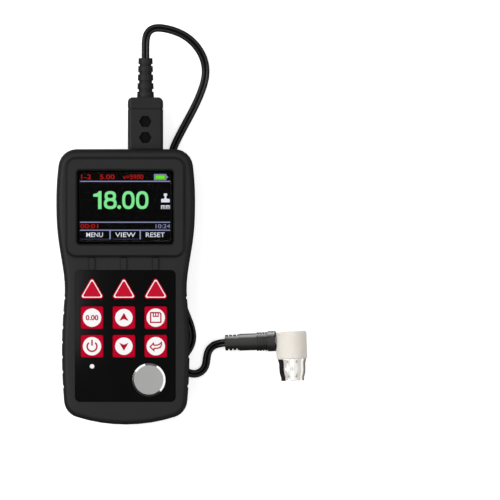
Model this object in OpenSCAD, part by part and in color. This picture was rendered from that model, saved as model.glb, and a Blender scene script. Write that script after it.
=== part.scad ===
// Handheld ultrasonic thickness gauge with its twin-cord contact probe plugged in.
// The meter lies on its back, face up. Sizes are in mm, +Z is up and +Y points to the plug.

/* [Case] */
// Width at the widest place, beside the screen
body_w = 75; // [73:0.5:78]
// Length from the foot to the top edge
body_l = 149; // [147:0.5:152]
// Height of the face above the back
body_t = 30; // [29.5:0.5:33]
// Width at the waist
waist_w = 65.8; // [65:0.2:68]
// Width of the grip
grip_w = 69; // [68:0.2:71]
// Width where the foot corners begin
foot_w = 66.6; // [66:0.2:67.6]
// Radius of the two top corners
top_corner_r = 9.8; // [9.4:0.2:10.8]
// Radius of the two foot corners
foot_corner_r = 9.6; // [9.4:0.2:10.4]
// Radius of the curved foot edge
foot_arc_r = 88; // [80:1:110]
// Lean of the sides at the top corners, in degrees
shoulder_lean = 7; // [5:0.5:8]
// Distance from the top edge to the widest place
belly_drop = 27.8; // [26:0.2:30]
// Distance from the top edge to the waist
waist_drop = 76; // [74:0.5:78]
// Distance from the top edge to the widest place of the grip
grip_drop = 108.5; // [106:0.5:111]
// Thickness of the case walls
wall = 2.2; // [2:0.1:2.4]
// Height of the line where the two halves meet
parting_z = 16; // [15.5:0.1:16.5]
// Width of the front rounding, seen from above
front_edge_w = 3.2; // [2.6:0.2:3.6]
// Height of the front rounding
front_edge_h = 5; // [4:0.2:6]
// Width of the back rounding, seen from above
back_edge_w = 9; // [8.4:0.1:9.2]
// Height of the back rounding
back_edge_h = 13; // [12:0.2:14]
// Length of the raised slope at the top of the back
back_slope_l = 26.5; // [25:0.5:28]
// Angle of that slope
back_slope_deg = 17; // [15:0.5:18]
// Number of grip notches on each side
notch_n = 7; // [5:1:7]
// Distance between grip notches
notch_pitch = 8; // [7.6:0.1:8.2]
// Radius of a grip notch
notch_r = 1.2; // [0.9:0.1:1.5]
// Depth of a grip notch
notch_d = 0.5; // [0.3:0.1:0.7]
// Distance from the top edge to the first notch
notch_drop = 80.5; // [79:0.5:82]

/* [Screen] */
// Width of the raised bezel at its foot
bezel_w = 64.8; // [63:0.2:65.2]
// Length of the raised bezel at its foot
bezel_l = 54.4; // [53:0.2:55]
// Height of the bezel above the face
bezel_h = 1.6; // [1.2:0.1:2.2]
// Width of the bezel's sloping wall
bezel_slope = 1.4; // [0.8:0.1:1.8]
// Corner radius of the bezel at its foot
bezel_r = 5.9; // [5.4:0.1:6.6]
// Distance from the top edge to the bezel
bezel_drop = 4.3; // [4.1:0.1:4.8]
// Width of the window
window_w = 52; // [51:0.2:53]
// Length of the window
window_l = 39.8; // [39:0.2:40.6]
// Corner radius of the window
window_r = 1.6; // [1.2:0.1:2.2]
// Width of the sloping edge round the window
window_rim = 0.9; // [0.6:0.1:1.1]
// Thickness of the window plate
window_t = 1; // [0.8:0.1:1]
// Depth of the window below the bezel
window_depth = 2.2; // [1.8:0.1:2.2]
// Width of the ledge under the window plate
ledge_w = 1; // [0.8:0.1:1.4]
// Width of the display module
lcd_w = 60.2; // [58:0.2:61]
// Length of the display module
lcd_l = 42.7; // [42:0.1:44]
// Thickness of the display module
lcd_t = 2.5; // [2.4:0.1:3]
// Thickness of the display glass
glass_t = 1; // [0.8:0.1:1.2]
// Rim of the display tray around the glass
tray_rim = 1.6; // [1.2:0.1:2]
// Width of a rib between bezel and keys
rib_w = 2.9; // [2.4:0.1:3.4]
// Length of a rib
rib_l = 6.4; // [5.8:0.1:6.6]
// Height of a rib
rib_h = 0.7; // [0.4:0.1:1]

/* [Keys] */
// Width of the face panel
panel_w = 54.2; // [53:0.2:55]
// Length of the face panel
panel_l = 71; // [70.4:0.2:71.2]
// Thickness of the face panel
panel_t = 0.8; // [0.6:0.1:0.9]
// Corner radius of the face panel
panel_r = 2.7; // [2:0.1:3.4]
// Distance from the foot to the face panel
panel_gap = 12.5; // [12.4:0.1:13]
// Width of a square key
key_w = 12; // [11.4:0.1:12.4]
// Corner radius of a square key
key_r = 0.9; // [0.6:0.1:1.4]
// Distance between key columns
key_pitch_x = 17.2; // [16.8:0.1:17.6]
// Distance between the two square rows
key_pitch_y = 15.4; // [15:0.1:15.6]
// Sideways place of the middle column
keys_x = -0.8; // [-1.2:0.1:0]
// Distance from the panel's top edge to the triangular keys
soft_drop = 9.3; // [9.1:0.1:9.6]
// Distance from the panel's top edge to the first square row
square_drop = 25.6; // [25.4:0.1:26]
// Width of a triangular key
soft_w = 13.8; // [13:0.1:14]
// Height of a triangular key
soft_h = 12; // [11.4:0.1:12.2]
// Corner radius of a triangular key
soft_r = 1.2; // [0.9:0.1:1.5]
// Height of the keys above the panel
key_rise = 0.9; // [0.6:0.1:1.4]
// How far a key goes down
key_travel = 0.5; // [0.3:0.05:0.5]
// Free space around a key
key_play = 0.3; // [0.25:0.05:0.4]
// Width of the flange that keeps a key in
key_flange = 0.8; // [0.6:0.1:1]
// Thickness of that flange
key_flange_t = 0.8; // [0.7:0.05:0.9]
// Diameter of the contact pill under a key
pill_d = 6; // [5:0.1:6.6]
// Thickness of the silicone mat
mat_t = 0.9; // [0.7:0.05:0.95]
// Diameter of the steel disc
disc_d = 17.9; // [17.2:0.1:18.4]
// Diameter of the disc's flat face
disc_face_d = 15.7; // [15:0.1:16.4]
// Thickness of the disc
disc_t = 4; // [3.8:0.1:4]
// Height of the disc above the panel
disc_rise = 1; // [0.9:0.1:1.3]
// Sideways place of the disc
disc_x = 12.7; // [12.2:0.1:13]
// Distance from the panel's foot edge to the disc
disc_gap = 11.8; // [11.4:0.1:12]
// Diameter of the lamp
lamp_d = 2.4; // [2:0.1:3]
// Sideways place of the lamp
lamp_x = -18; // [-19:0.1:-16]
// Distance from the panel's foot edge to the lamp
lamp_gap = 19.1; // [18:0.1:19.6]

/* [Boards and cells] */
// Width of the circuit board
board_w = 58.4; // [57:0.2:59]
// Thickness of the circuit board
board_t = 1.6; // [1.4:0.1:1.8]
// Distance of the board from the top edge
board_top_gap = 4.6; // [4.4:0.1:4.8]
// Distance of the board from the foot
board_foot_gap = 9; // [8.8:0.1:10]
// Diameter of the board bosses
boss_d = 4.6; // [4.2:0.1:5]
// Diameter of the board screws
board_screw_d = 1.8; // [1.6:0.1:2]
// Diameter of a cell
cell_d = 14.2; // [13.8:0.1:14.5]
// Length of a cell without its nub
cell_l = 49.2; // [48:0.1:49.6]
// Length of a cell's nub
nub_l = 1.2; // [1:0.1:1.4]
// Length of the battery bay
bay_l = 57; // [56.6:0.1:57.4]
// Distance from the foot to the battery bay
bay_gap = 12.4; // [12.2:0.1:12.8]
// Width of the battery cover
cover_w = 32; // [31.8:0.1:33]
// Thickness of the battery cover
cover_t = 1.7; // [1.5:0.1:1.8]
// How far the cover lies above the back face
cover_lift = 0.3; // [0.2:0.05:0.4]
// Reach of the cover's side tongues
tongue_w = 1.2; // [0.9:0.1:1.4]
// Diameter of the case screws
case_screw_d = 2.6; // [2.4:0.1:3]
// Diameter of the case screw heads
case_head_d = 5; // [4.6:0.1:5.2]

/* [Plug] */
// Sideways place of the plug
plug_x = 10.6; // [9:0.1:12]
// Width of the plug block
plug_w = 19; // [18.4:0.1:19.4]
// Thickness of the plug block
plug_t = 13; // [12.6:0.1:13.4]
// Length of the two screwed halves
plug_l = 21.6; // [21:0.1:23]
// Length of the end cap
plug_cap_l = 6.4; // [6:0.1:7]
// Edge radius of the plug block
plug_r = 2; // [1.4:0.1:2.4]
// Corner radius of the end cap, seen from above
plug_corner_r = 2.6; // [2:0.1:3]
// Half the distance between the two coaxial plugs
pin_side = 5.5; // [5.4:0.1:5.6]
// Diameter of a coaxial plug
pin_d = 5.8; // [5.4:0.1:6]
// Diameter of a plug's nose inside the socket
nose_d = 4; // [3.6:0.1:4.2]
// Length of a plug's nose
nose_l = 8; // [7:0.1:8.6]
// Diameter of a socket
socket_d = 6.8; // [6.6:0.1:7]
// Width across the flats of a nut
nut_af = 5.4; // [5.2:0.1:5.5]
// Thickness of a nut
nut_t = 2.4; // [2:0.1:2.6]
// Diameter of the plug screws
plug_screw_d = 2.8; // [2.6:0.1:2.9]
// Distance from the block's foot to the first nut
nut_gap = 6.2; // [6:0.1:6.4]
// Distance between the nuts
nut_pitch = 8.7; // [8.4:0.1:9]
// Length of the plug's boot
boot_l = 21.4; // [20:0.1:23]
// Diameter of the boot at its base
boot_base_d = 9.2; // [8.8:0.1:9.6]
// Diameter of the boot at its tip
boot_tip_d = 7.6; // [7.2:0.1:8]
// Depth of the boot's grooves
boot_groove = 0.8; // [0.4:0.1:0.9]
// Number of ribs on the boot
boot_ribs = 5; // [4:1:6]

/* [Probe] */
// Diameter of the knurled cap
cap_d = 17; // [16.4:0.1:17.6]
// Length of the cap
cap_l = 15; // [14.6:0.1:15.6]
// Length of the metal nose
probe_nose_l = 11.8; // [11.2:0.1:12.2]
// Diameter of the nose at the cap
probe_nose_d = 15.4; // [15:0.1:15.8]
// Diameter of the nose's straight middle
nose_mid_d = 14.2; // [13.8:0.1:14.6]
// Length of the nose's tapered end
nose_taper_l = 6.4; // [5.6:0.1:7]
// Diameter of the nose at the contact face
face_d = 10.9; // [10.8:0.1:11.6]
// Diameter of the delay blocks
delay_d = 9; // [8.6:0.1:9.2]
// Thickness of the sound barrier
barrier_t = 0.6; // [0.4:0.05:0.8]
// Height of the boot's axis above the contact face
port_y = 21.8; // [21.2:0.1:22]
// Diameter of the boot at its end
relief_d = 8.6; // [8.2:0.1:8.8]
// Diameter of the boot's barrel
barrel_d = 9.2; // [8.9:0.1:9.4]
// Diameter of the boot's rings
ring_d = 10.1; // [9.8:0.1:10.4]
// Diameter of the boot's collar
collar_d = 11; // [10.8:0.1:11.2]

/* [Cord] */
// Diameter of each of the two leads that lie side by side
lead_d = 2.2; // [2:0.05:2.25]

/* [Hidden] */
$fn = 48;
eps = 0.05;
far = 100;
fit = 0.1;
slip = 0.2;

// Places along the case
top_y = body_l / 2;
foot_y = -body_l / 2;
belly_y = top_y - belly_drop;
waist_y = top_y - waist_drop;
grip_y = top_y - grip_drop;
bezel_y = top_y - bezel_drop - bezel_l / 2;
panel_foot_y = foot_y + panel_gap;
panel_y = panel_foot_y + panel_l / 2;
panel_top_y = panel_foot_y + panel_l;
soft_y = panel_top_y - soft_drop;
upper_y = panel_top_y - square_drop;
lower_y = upper_y - key_pitch_y;
disc_y = panel_foot_y + disc_gap;
lamp_y = panel_foot_y + lamp_gap;
left_x = keys_x - key_pitch_x;
right_x = keys_x + key_pitch_x;
slope_y = top_y - back_slope_l;

// Heights
face_z = body_t;
seat_z = face_z - panel_t;
under_z = face_z - wall;
bezel_z = face_z + bezel_h;
window_z = bezel_z - window_depth;
lcd_z = under_z - fit;
board_z = lcd_z - lcd_t;
key_top = face_z + key_rise;
flange_z = under_z - fit;
mat_z = board_z + mat_t;
pill_z = board_z + key_travel + slip;
disc_z = face_z + disc_rise - disc_t;
cup_wall = 1.2;
cup_floor = 0.8;

// Curves of the outline
corner_steps = 6;
side_steps = 28;
foot_steps = 4;
back_steps = 6;
front_steps = 6;
belly_power = 1.35;
waist_power = 0.7;
back_power = 1.54;
top_cy = top_y - top_corner_r;
shoulder_y = top_cy + top_corner_r * sin(shoulder_lean);
shoulder_x = body_w / 2 - tan(shoulder_lean) * (shoulder_y - belly_y) / 2;
top_cx = shoulder_x - top_corner_r * cos(shoulder_lean);
foot_lean = atan((grip_w - foot_w) / (grip_y - foot_y - foot_corner_r));
foot_cx = foot_w / 2 - foot_corner_r * cos(foot_lean);
foot_cr = foot_arc_r - foot_corner_r;
foot_cy = foot_y + foot_arc_r - sqrt(foot_cr * foot_cr - foot_cx * foot_cx);
foot_join_y = foot_cy - foot_corner_r * sin(foot_lean);
foot_turn = asin(foot_cx / foot_cr);

function blend(t) = (1 - cos(180 * t)) / 2;
function share(a, b, y) = (a - y) / (a - b);
function side_x(y) =
    y > belly_y ? body_w / 2 - (body_w / 2 - shoulder_x) * pow(share(belly_y, shoulder_y, y), 2)
    : y > waist_y ? body_w / 2
        - (body_w - waist_w) / 2 * blend(pow(share(belly_y, waist_y, y), belly_power))
    : y > grip_y ? waist_w / 2
        + (grip_w - waist_w) / 2 * blend(pow(share(waist_y, grip_y, y), waist_power))
    : grip_w / 2 - (grip_w - foot_w) / 2 * pow(share(grip_y, foot_join_y, y), 2);

half_outline = concat(
    [for (i = [0:corner_steps]) let (a = 90 - (90 - shoulder_lean) * i / corner_steps)
        [top_cx + top_corner_r * cos(a), top_cy + top_corner_r * sin(a)]],
    [for (i = [1:side_steps - 1])
        let (y = shoulder_y + (foot_join_y - shoulder_y) * i / side_steps) [side_x(y), y]],
    [for (i = [0:corner_steps])
        let (a = -foot_lean - (90 - foot_turn - foot_lean) * i / corner_steps)
        [foot_cx + foot_corner_r * cos(a), foot_cy + foot_corner_r * sin(a)]],
    [for (i = [1:foot_steps - 1]) let (a = foot_turn * (1 - i / foot_steps))
        [foot_arc_r * sin(a), foot_y + foot_arc_r - foot_arc_r * cos(a)]],
    [[0, foot_y]]
);
half_n = len(half_outline);
outline = concat(
    half_outline,
    [for (i = [half_n - 2:-1:0]) [-half_outline[i][0], half_outline[i][1]]]
);
ring_n = len(outline);
inward = [for (i = [0:ring_n - 1])
    let (d = outline[(i + 1) % ring_n] - outline[(i + ring_n - 1) % ring_n])
    [d[1], -d[0]] / norm(d)];

// The outline moved inwards, and the same at a height
function inset_outline(inset) = [for (i = [0:ring_n - 1]) outline[i] + inset * inward[i]];
function ring(inset, z) = [for (p = inset_outline(inset)) [p[0], p[1], z]];

front_rings = concat(
    [ring(0, parting_z), ring(0, face_z - front_edge_h)],
    [for (i = [1:front_steps]) let (a = 90 * i / front_steps)
        ring(front_edge_w * (1 - cos(a)), face_z - front_edge_h * (1 - sin(a)))],
    [ring(front_edge_w, face_z + wall)]
);
back_rings = concat(
    [ring(back_edge_w, -wall)],
    [for (i = [0:back_steps]) let (a = 90 * (1 - i / back_steps))
        ring(back_edge_w * (1 - pow(cos(a), back_power)),
            back_edge_h * (1 - pow(sin(a), back_power)))],
    [ring(0, parting_z)]
);
hollow_w = back_edge_w - wall - slip;
hollow_h = parting_z - 2 * wall;
hollow_rings = concat(
    [ring(wall + hollow_w, -wall)],
    [for (i = [0:back_steps]) let (a = 90 * (1 - i / back_steps))
        ring(wall + hollow_w * (1 - pow(cos(a), back_power)),
            wall + hollow_h * (1 - pow(sin(a), back_power)))],
    [ring(wall, parting_z + eps)]
);

// Battery bay and cover
cell_play = 0.4;
bay_wall = 2.2;
bay_w = 2 * cell_d + 3 * cell_play;
bay_foot_y = foot_y + bay_gap;
bay_y = bay_foot_y + bay_l / 2;
bay_top_y = bay_foot_y + bay_l;
cover_z = cover_lift + cover_t;
pocket_z = cover_z + slip;
cell_z = pocket_z + cell_d / 2 + fit;
bay_roof_z = cell_z + cell_d / 2 + slip;
roof_t = 1.2;
cover_top_y = bay_top_y + 1;
tongue_z = 1;
tongue_t = 0.7;
tongue_end = 5;
plate_t = 0.4;
nub_d = 5.2;
cell_x = (cell_d + cell_play) / 2;
cell_mid_y = bay_y;
spring_d = 6;
grip_line_n = 4;
grip_line_r = 0.7;
grip_line_w = 14;
grip_line_pitch = 2.4;

// Screws
case_screw_in = 6.1;
case_screw_drop = 34.5;
grip_screw_in = 5.5;
grip_screw_gap = 28.5;
case_screw_at = [
    for (p = [[body_w / 2 - case_screw_in, top_y - case_screw_drop],
        [grip_w / 2 - grip_screw_in, foot_y + grip_screw_gap]]) for (s = [1, -1]) [s * p[0], p[1]]
];
column_d = 7;
case_boss_d = 6;
case_boss_h = 6.4;
case_head_z = 8;
case_head_t = 2;
case_screw_l = 13;
board_screw_x = board_w / 2 - 3.7;
board_screw_drop = 7.1;
board_screw_mid = 2.8;
board_screw_gap = 16.5;
board_screw_at = [
    for (y = [top_y - board_screw_drop, bezel_y - bezel_l / 2 - board_screw_mid,
        foot_y + board_screw_gap]) for (s = [1, -1]) [s * board_screw_x, y]
];
board_head_d = 3.4;
board_head_t = 1.2;
board_screw_l = 3.6;

// Plug block, from the top edge upwards
plug_z = parting_z;
plug_foot_y = top_y + fit;
plug_cap_y = plug_foot_y + plug_l;
boot_y = plug_cap_y + plug_cap_l;
nut_y = [plug_foot_y + nut_gap, plug_foot_y + nut_gap + nut_pitch];
nut_floor_z = plug_z + plug_t / 2 - 4;
cap_step = 0.4;
cap_step_l = 0.5;
plug_head_d = 5;
plug_head_t = 1.8;
plug_head_z = plug_z - plug_t / 2 + 0.4;
pin_body_l = 15;
socket_l = 12.4;
socket_bore_l = 9.4;
socket_flange_d = 8.6;
socket_flange_t = 1.4;
socket_pin_d = 1;
socket_pin_l = 5;

// Probe: it lies on its side, rolled until the end of its boot touches the table
reach = 36;
probe_turn = 2;
probe_at = [90.5, -51.1, cap_d / 2];
roll = asin((cap_d - relief_d) / 2 / reach);
nose_neck_d = 12.4;
nose_neck_l = 5;
cap_bore_l = 5.2;
cap_hollow_d = 9.6;
cap_hollow_l = 12.4;
cap_edge = 0.7;
nose_steps = 6;
nose_flare_l = 2.2;
nose_lip = 0.3;
delay_l = 12.4;
crystal_d = 8;
crystal_t = 0.6;
backing_d = 8.6;
backing_l = 5.4;
gland_d = 5;
gland_bore_d = 3;
gland_l = 8;
collar_l = 4.2;
relief_slots = 3;
boot_rings = 4;
function roll_turn(p) = [p[0] * cos(roll), p[1], p[0] * sin(roll)];
function table_turn(p) = [
    p[0] * cos(probe_turn) - p[1] * sin(probe_turn),
    p[0] * sin(probe_turn) + p[1] * cos(probe_turn),
    p[2]
];
boot_end = probe_at + table_turn(roll_turn([-reach, port_y, 0]));

// Middle line between the two leads, from the plug's boot to the probe's boot
lie_z = 1.2;
cord_route = concat(
    [[plug_x, boot_y + boot_l, plug_z]],
    [
        [plug_x, 128, 16], [plug_x, 132.4, 16], [11.1, 137.3, 15.4], [14.2, 140.4, 14.4],
        [18.6, 140.7, 13.2], [23.6, 139.8, 11.6], [28.6, 138.2, 9.9], [33.4, 135.6, 8],
        [37.6, 131.8, 6], [40.8, 127.2, 4], [42.8, 122, 2.3], [43.3, 116.6, 1.4],
        [42.4, 111.2, lie_z], [40.4, 105.4, lie_z], [37.8, 99.4, lie_z], [34.6, 93.2, lie_z],
        [31, 86.6, lie_z], [27.6, 80.2, lie_z], [24.9, 74.4, lie_z], [24.6, 69.2, lie_z],
        [27.2, 64.6, lie_z], [30.7, 60, lie_z], [33.2, 54.4, lie_z], [34, 46, lie_z],
        [33.6, 35, lie_z], [32.4, 24, lie_z], [30.6, 13, lie_z], [29.4, 3, lie_z],
        [29.6, -6, lie_z], [31.6, -13.4, lie_z], [34.6, -20, lie_z], [36.3, -26.6, lie_z],
        [35.2, -32.6, lie_z], [31.8, -37, lie_z], [29.9, -41.2, lie_z], [31.4, -45.8, lie_z],
        [35.6, -48, lie_z], [40.2, -47.2, lie_z], [43.2, -43.8, lie_z], [43.6, -39.2, lie_z],
        [44.4, -34.8, 1.4], [47.4, -31.8, 2.2], [50.8, -30.9, 3.6]
    ],
    [boot_end]
);
route_n = len(cord_route);
lead_side = (lead_d + fit) / 2;
lead_sides = 8;

// A smooth curve that the route's points draw, from its first point to its last
cord_line = [for (i = [0:route_n - 1])
    i == 0 || i == route_n - 1 ? cord_route[i]
    : (cord_route[i - 1] + 4 * cord_route[i] + cord_route[i + 1]) / 6];
boot_axis = table_turn(roll_turn([1, 0, 0]));
function cord_way(i) =
    i == 0 ? [0, 1, 0]
    : i == route_n - 1 ? boot_axis
    : (cord_route[i + 1] - cord_route[i - 1]) / norm(cord_route[i + 1] - cord_route[i - 1]);
function lead_rings(s) = [for (i = [0:route_n - 1])
    let (w = cord_way(i), c = cross(w, [0, 0, 1]), side = c / norm(c), up = cross(side, w))
    [for (k = [0:lead_sides - 1]) let (a = 360 * (k + 0.5) / lead_sides)
        cord_line[i] + (s * lead_side + lead_d / 2 * cos(a)) * side + lead_d / 2 * sin(a) * up]];

// A closed body through rings of points that run clockwise, seen from the last ring
module loft(rings) {
    n = len(rings[0]);
    m = len(rings);
    polyhedron(
        points = [for (r = rings) for (p = r) p],
        faces = concat(
            [[for (i = [n - 1:-1:0]) i]],
            [[for (i = [0:n - 1]) (m - 1) * n + i]],
            [for (j = [0:m - 2]) for (i = [0:n - 1]) let (k = (i + 1) % n)
                [j * n + i, j * n + k, (j + 1) * n + k]],
            [for (j = [0:m - 2]) for (i = [0:n - 1]) let (k = (i + 1) % n)
                [j * n + i, (j + 1) * n + k, (j + 1) * n + i]]
        ),
        convexity = 8
    );
}

// Flat shape with round corners, from the middles of its corners
function outwards(p, q) = [q[1] - p[1], p[0] - q[0]] / norm(q - p);
module round_shape(corners, r) {
    n = len(corners);
    polygon([for (i = [0:n - 1]) for (e = [0, 1])
        corners[(i + e) % n] + r * outwards(corners[i], corners[(i + 1) % n])]);
    for (p = corners) translate(p) circle(r = r);
}
module round_rect(w, h, r) {
    x = w / 2 - r;
    y = h / 2 - r;
    round_shape([[-x, -y], [x, -y], [x, y], [-x, y]], r);
}
module plate(w, h, r, z0, z1) {
    translate([0, 0, z0]) linear_extrude(z1 - z0) round_rect(w, h, r);
}
module along_y(y0, y1) {
    translate([0, y0, 0]) rotate([-90, 0, 0]) linear_extrude(y1 - y0) children();
}

// Key shapes seen from above, grown by a margin
module square_shape(grow) {
    round_rect(key_w + 2 * grow, key_w + 2 * grow, key_r + grow);
}
soft_side = sqrt(soft_h * soft_h + soft_w * soft_w / 4);
soft_lift = soft_r * soft_side * 2 / soft_w;
soft_in = soft_r * (soft_side + soft_w / 2) / soft_h;
soft_tip = atan2(soft_h, soft_w / 2);
soft_steps = 8;
function soft_corner(p, r, a0, a1) = [for (i = [0:soft_steps])
    let (a = a0 + (a1 - a0) * i / soft_steps) p + r * [cos(a), sin(a)]];
module soft_shape(grow) {
    r = soft_r + grow;
    x = soft_w / 2 - soft_in;
    y = -soft_h / 2 + soft_r;
    polygon(concat(
        soft_corner([-x, y], r, 90 + soft_tip, 270),
        soft_corner([x, y], r, 270, 450 - soft_tip),
        soft_corner([0, soft_h / 2 - soft_lift], r, 90 - soft_tip, 90 + soft_tip)
    ));
}
module all_keys(grow) {
    for (x = [left_x, keys_x, right_x]) {
        translate([x, soft_y]) soft_shape(grow);
        translate([x, upper_y]) square_shape(grow);
        translate([x, lower_y]) square_shape(grow);
    }
}

module outer_back() {
    difference() {
        loft(back_rings);
        flat_cut(0);
        slope_cut(0);
    }
}
module inner_back() {
    difference() {
        loft(hollow_rings);
        flat_cut(wall);
        slope_cut(wall / cos(back_slope_deg));
    }
}
module flat_cut(z) {
    translate([-far, -far, z - far]) cube([2 * far, 2 * far, far]);
}
module slope_cut(lift) {
    translate([0, slope_y, lift]) rotate([back_slope_deg, 0, 0])
        translate([-far / 2, 0, -far]) cube(far);
}
module grip_notches() {
    for (s = [-1, 1]) for (i = [0:notch_n - 1]) {
        y = top_y - notch_drop - i * notch_pitch;
        translate([s * (side_x(y) + notch_r - notch_d), y, wall])
            cylinder(r = notch_r, h = body_t);
    }
}
module socket_holes() {
    for (s = [-1, 1]) translate([plug_x + s * pin_side, top_y - 2 * wall, plug_z])
        rotate([-90, 0, 0]) rotate(45) cylinder(d = socket_d + slip, h = 3 * wall);
}

module socket_seats() {
    for (s = [-1, 1]) translate([plug_x + s * pin_side, top_y - wall - fit, plug_z])
        rotate([90, 0, 0]) rotate(45) cylinder(d = socket_flange_d + 2 * slip, h = 2 * wall);
}

module front_case() {
    color("#303030") difference() {
        union() {
            difference() {
                loft(front_rings);
                translate([-far, -far, face_z]) cube(2 * far);
                translate([0, 0, parting_z - eps]) linear_extrude(under_z - parting_z + eps)
                    polygon(inset_outline(wall));
            }
            translate([0, bezel_y, face_z]) hull() {
                plate(bezel_w, bezel_l, bezel_r, -eps, 0);
                plate(bezel_w - 2 * bezel_slope, bezel_l - 2 * bezel_slope,
                    bezel_r - bezel_slope, bezel_h - eps, bezel_h);
            }
            for (x = [left_x, keys_x, right_x])
                translate([x, (bezel_y - bezel_l / 2 + panel_top_y) / 2, 0])
                    plate(rib_w, rib_l, rib_h, face_z - eps, face_z + rib_h);
            for (p = case_screw_at) intersection() {
                translate([p[0], p[1], parting_z]) {
                    cylinder(d = case_boss_d, h = case_boss_h);
                    translate([p[0] > 0 ? 0 : -far, -case_boss_d / 2, 0])
                        cube([far, case_boss_d, case_boss_h]);
                }
                translate([0, 0, parting_z]) linear_extrude(case_boss_h)
                    polygon(inset_outline(wall / 2));
            }
            for (p = board_screw_at) translate([p[0], p[1], board_z])
                cylinder(d = boss_d, h = under_z - board_z + eps);
            translate([disc_x, disc_y, disc_z - cup_floor])
                cylinder(d = disc_d + 2 * fit + 2 * cup_wall, h = under_z - disc_z + cup_floor + eps);
        }
        translate([0, bezel_y, 0]) plate(window_w, window_l, window_r, window_z - window_t, far);
        translate([0, bezel_y, bezel_z]) hull() {
            plate(window_w, window_l, window_r, -window_rim - eps, -window_rim);
            plate(window_w + 2 * window_rim, window_l + 2 * window_rim, window_r + window_rim, 0, eps);
        }
        translate([0, bezel_y, 0]) plate(window_w - 2 * ledge_w, window_l - 2 * ledge_w, window_r,
            parting_z, far);
        translate([0, panel_y, 0])
            plate(panel_w + 2 * fit, panel_l + 2 * fit, panel_r, seat_z, face_z + eps);
        translate([0, 0, parting_z]) linear_extrude(far) all_keys(key_play);
        translate([disc_x, disc_y, disc_z]) cylinder(d = disc_d + 2 * fit, h = far);
        translate([lamp_x, lamp_y, parting_z]) cylinder(d = lamp_d + slip, h = far);
        for (p = case_screw_at) translate([p[0], p[1], parting_z - eps])
            cylinder(d = case_screw_d + fit, h = case_boss_h - 1);
        for (p = board_screw_at) translate([p[0], p[1], board_z - eps])
            cylinder(d = board_screw_d + fit, h = board_screw_l - board_t + fit);
        grip_notches();
        socket_holes();
    }
}

module rear_case() {
    color("#2c2c2c") difference() {
        union() {
            difference() {
                outer_back();
                inner_back();
            }
            intersection() {
                outer_back();
                for (p = case_screw_at) translate([p[0], p[1], 0])
                    cylinder(d = column_d, h = parting_z);
            }
            translate([0, bay_y, 0]) plate(bay_w + 2 * bay_wall, bay_l + 2 * bay_wall, bay_wall,
                wall - eps, bay_roof_z + roof_t);
        }
        translate([-bay_w / 2, bay_foot_y, -eps]) cube([bay_w, bay_l, bay_roof_z + eps]);
        translate([-cover_w / 2 - slip, -far, -eps])
            cube([cover_w + 2 * slip, far + cover_top_y + slip, pocket_z + eps]);
        translate([-cover_w / 2 - tongue_w - slip, -far, tongue_z - slip])
            cube([cover_w + 2 * tongue_w + 2 * slip, far + cover_top_y - tongue_end,
                tongue_t + 2 * slip]);
        for (p = case_screw_at) translate([p[0], p[1], -eps]) {
            cylinder(d = case_head_d + 2 * slip, h = case_head_z + case_head_t);
            cylinder(d = case_screw_d + 2 * slip, h = far);
        }
        grip_notches();
        socket_holes();
        socket_seats();
    }
}

module battery_cover() {
    color("#2c2c2c") difference() {
        union() {
            intersection() {
                loft(back_rings);
                translate([-cover_w / 2, -far, cover_lift])
                    cube([cover_w, far + cover_top_y, cover_t]);
            }
            translate([-cover_w / 2 - tongue_w, bay_foot_y, tongue_z])
                cube([cover_w + 2 * tongue_w, bay_l - 2 * tongue_end, tongue_t]);
        }
        for (i = [0:grip_line_n - 1])
            translate([-grip_line_w / 2, cover_top_y - 2 * tongue_end - i * grip_line_pitch,
                cover_lift]) rotate([0, 90, 0]) cylinder(r = grip_line_r, h = grip_line_w);
    }
}

module case_screws() {
    color("#b8babd") for (p = case_screw_at)
        translate([p[0], p[1], case_head_z + case_head_t - eps]) {
            cylinder(d = case_screw_d, h = case_screw_l - case_head_t);
            translate([0, 0, -case_head_t]) difference() {
                cylinder(d = case_head_d, h = case_head_t);
                translate([0, 0, -eps]) cylinder(d = case_screw_d / 2, h = case_head_t / 2, $fn = 6);
            }
        }
}

module display_window() {
    color("#202428") translate([0, bezel_y, 0]) plate(window_w - 2 * fit, window_l - 2 * fit,
        window_r, window_z - window_t, window_z);
}

module lcd_frame() {
    color("#9a9da0") translate([0, bezel_y, 0]) difference() {
        plate(lcd_w, lcd_l, tray_rim / 2, board_z, lcd_z);
        plate(lcd_w - 2 * tray_rim, lcd_l - 2 * tray_rim, tray_rim / 4, lcd_z - glass_t, far);
    }
}

module lcd_glass() {
    color("#101014") translate([0, bezel_y, 0]) plate(lcd_w - 2 * tray_rim - 2 * fit,
        lcd_l - 2 * tray_rim - 2 * fit, tray_rim / 4, lcd_z - glass_t, lcd_z);
}

module main_board() {
    board_l = body_l - board_top_gap - board_foot_gap;
    color("#1d5a3a") difference() {
        translate([0, (board_foot_gap - board_top_gap) / 2, 0])
            plate(board_w, board_l, 2 * board_t, board_z - board_t, board_z);
        for (p = board_screw_at) translate([p[0], p[1], board_z - 2 * board_t])
            cylinder(d = board_screw_d + slip, h = 3 * board_t);
    }
}

module board_screws() {
    color("#b8babd") for (p = board_screw_at) translate([p[0], p[1], board_z - board_t]) {
        cylinder(d = board_screw_d, h = board_screw_l);
        translate([0, 0, -board_head_t]) difference() {
            cylinder(d = board_head_d, h = board_head_t);
            translate([0, 0, -eps])
                cylinder(d = board_screw_d * 2 / 3, h = board_head_t / 2, $fn = 6);
        }
    }
}

module keypad_panel() {
    color("#0c0c0c") difference() {
        translate([0, panel_y, 0]) plate(panel_w, panel_l, panel_r, seat_z, face_z);
        translate([0, 0, parting_z]) linear_extrude(far) all_keys(key_play);
        translate([disc_x, disc_y, parting_z]) cylinder(d = disc_d + 2 * fit, h = far);
        translate([lamp_x, lamp_y, parting_z]) cylinder(d = lamp_d + slip, h = far);
    }
}

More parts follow.
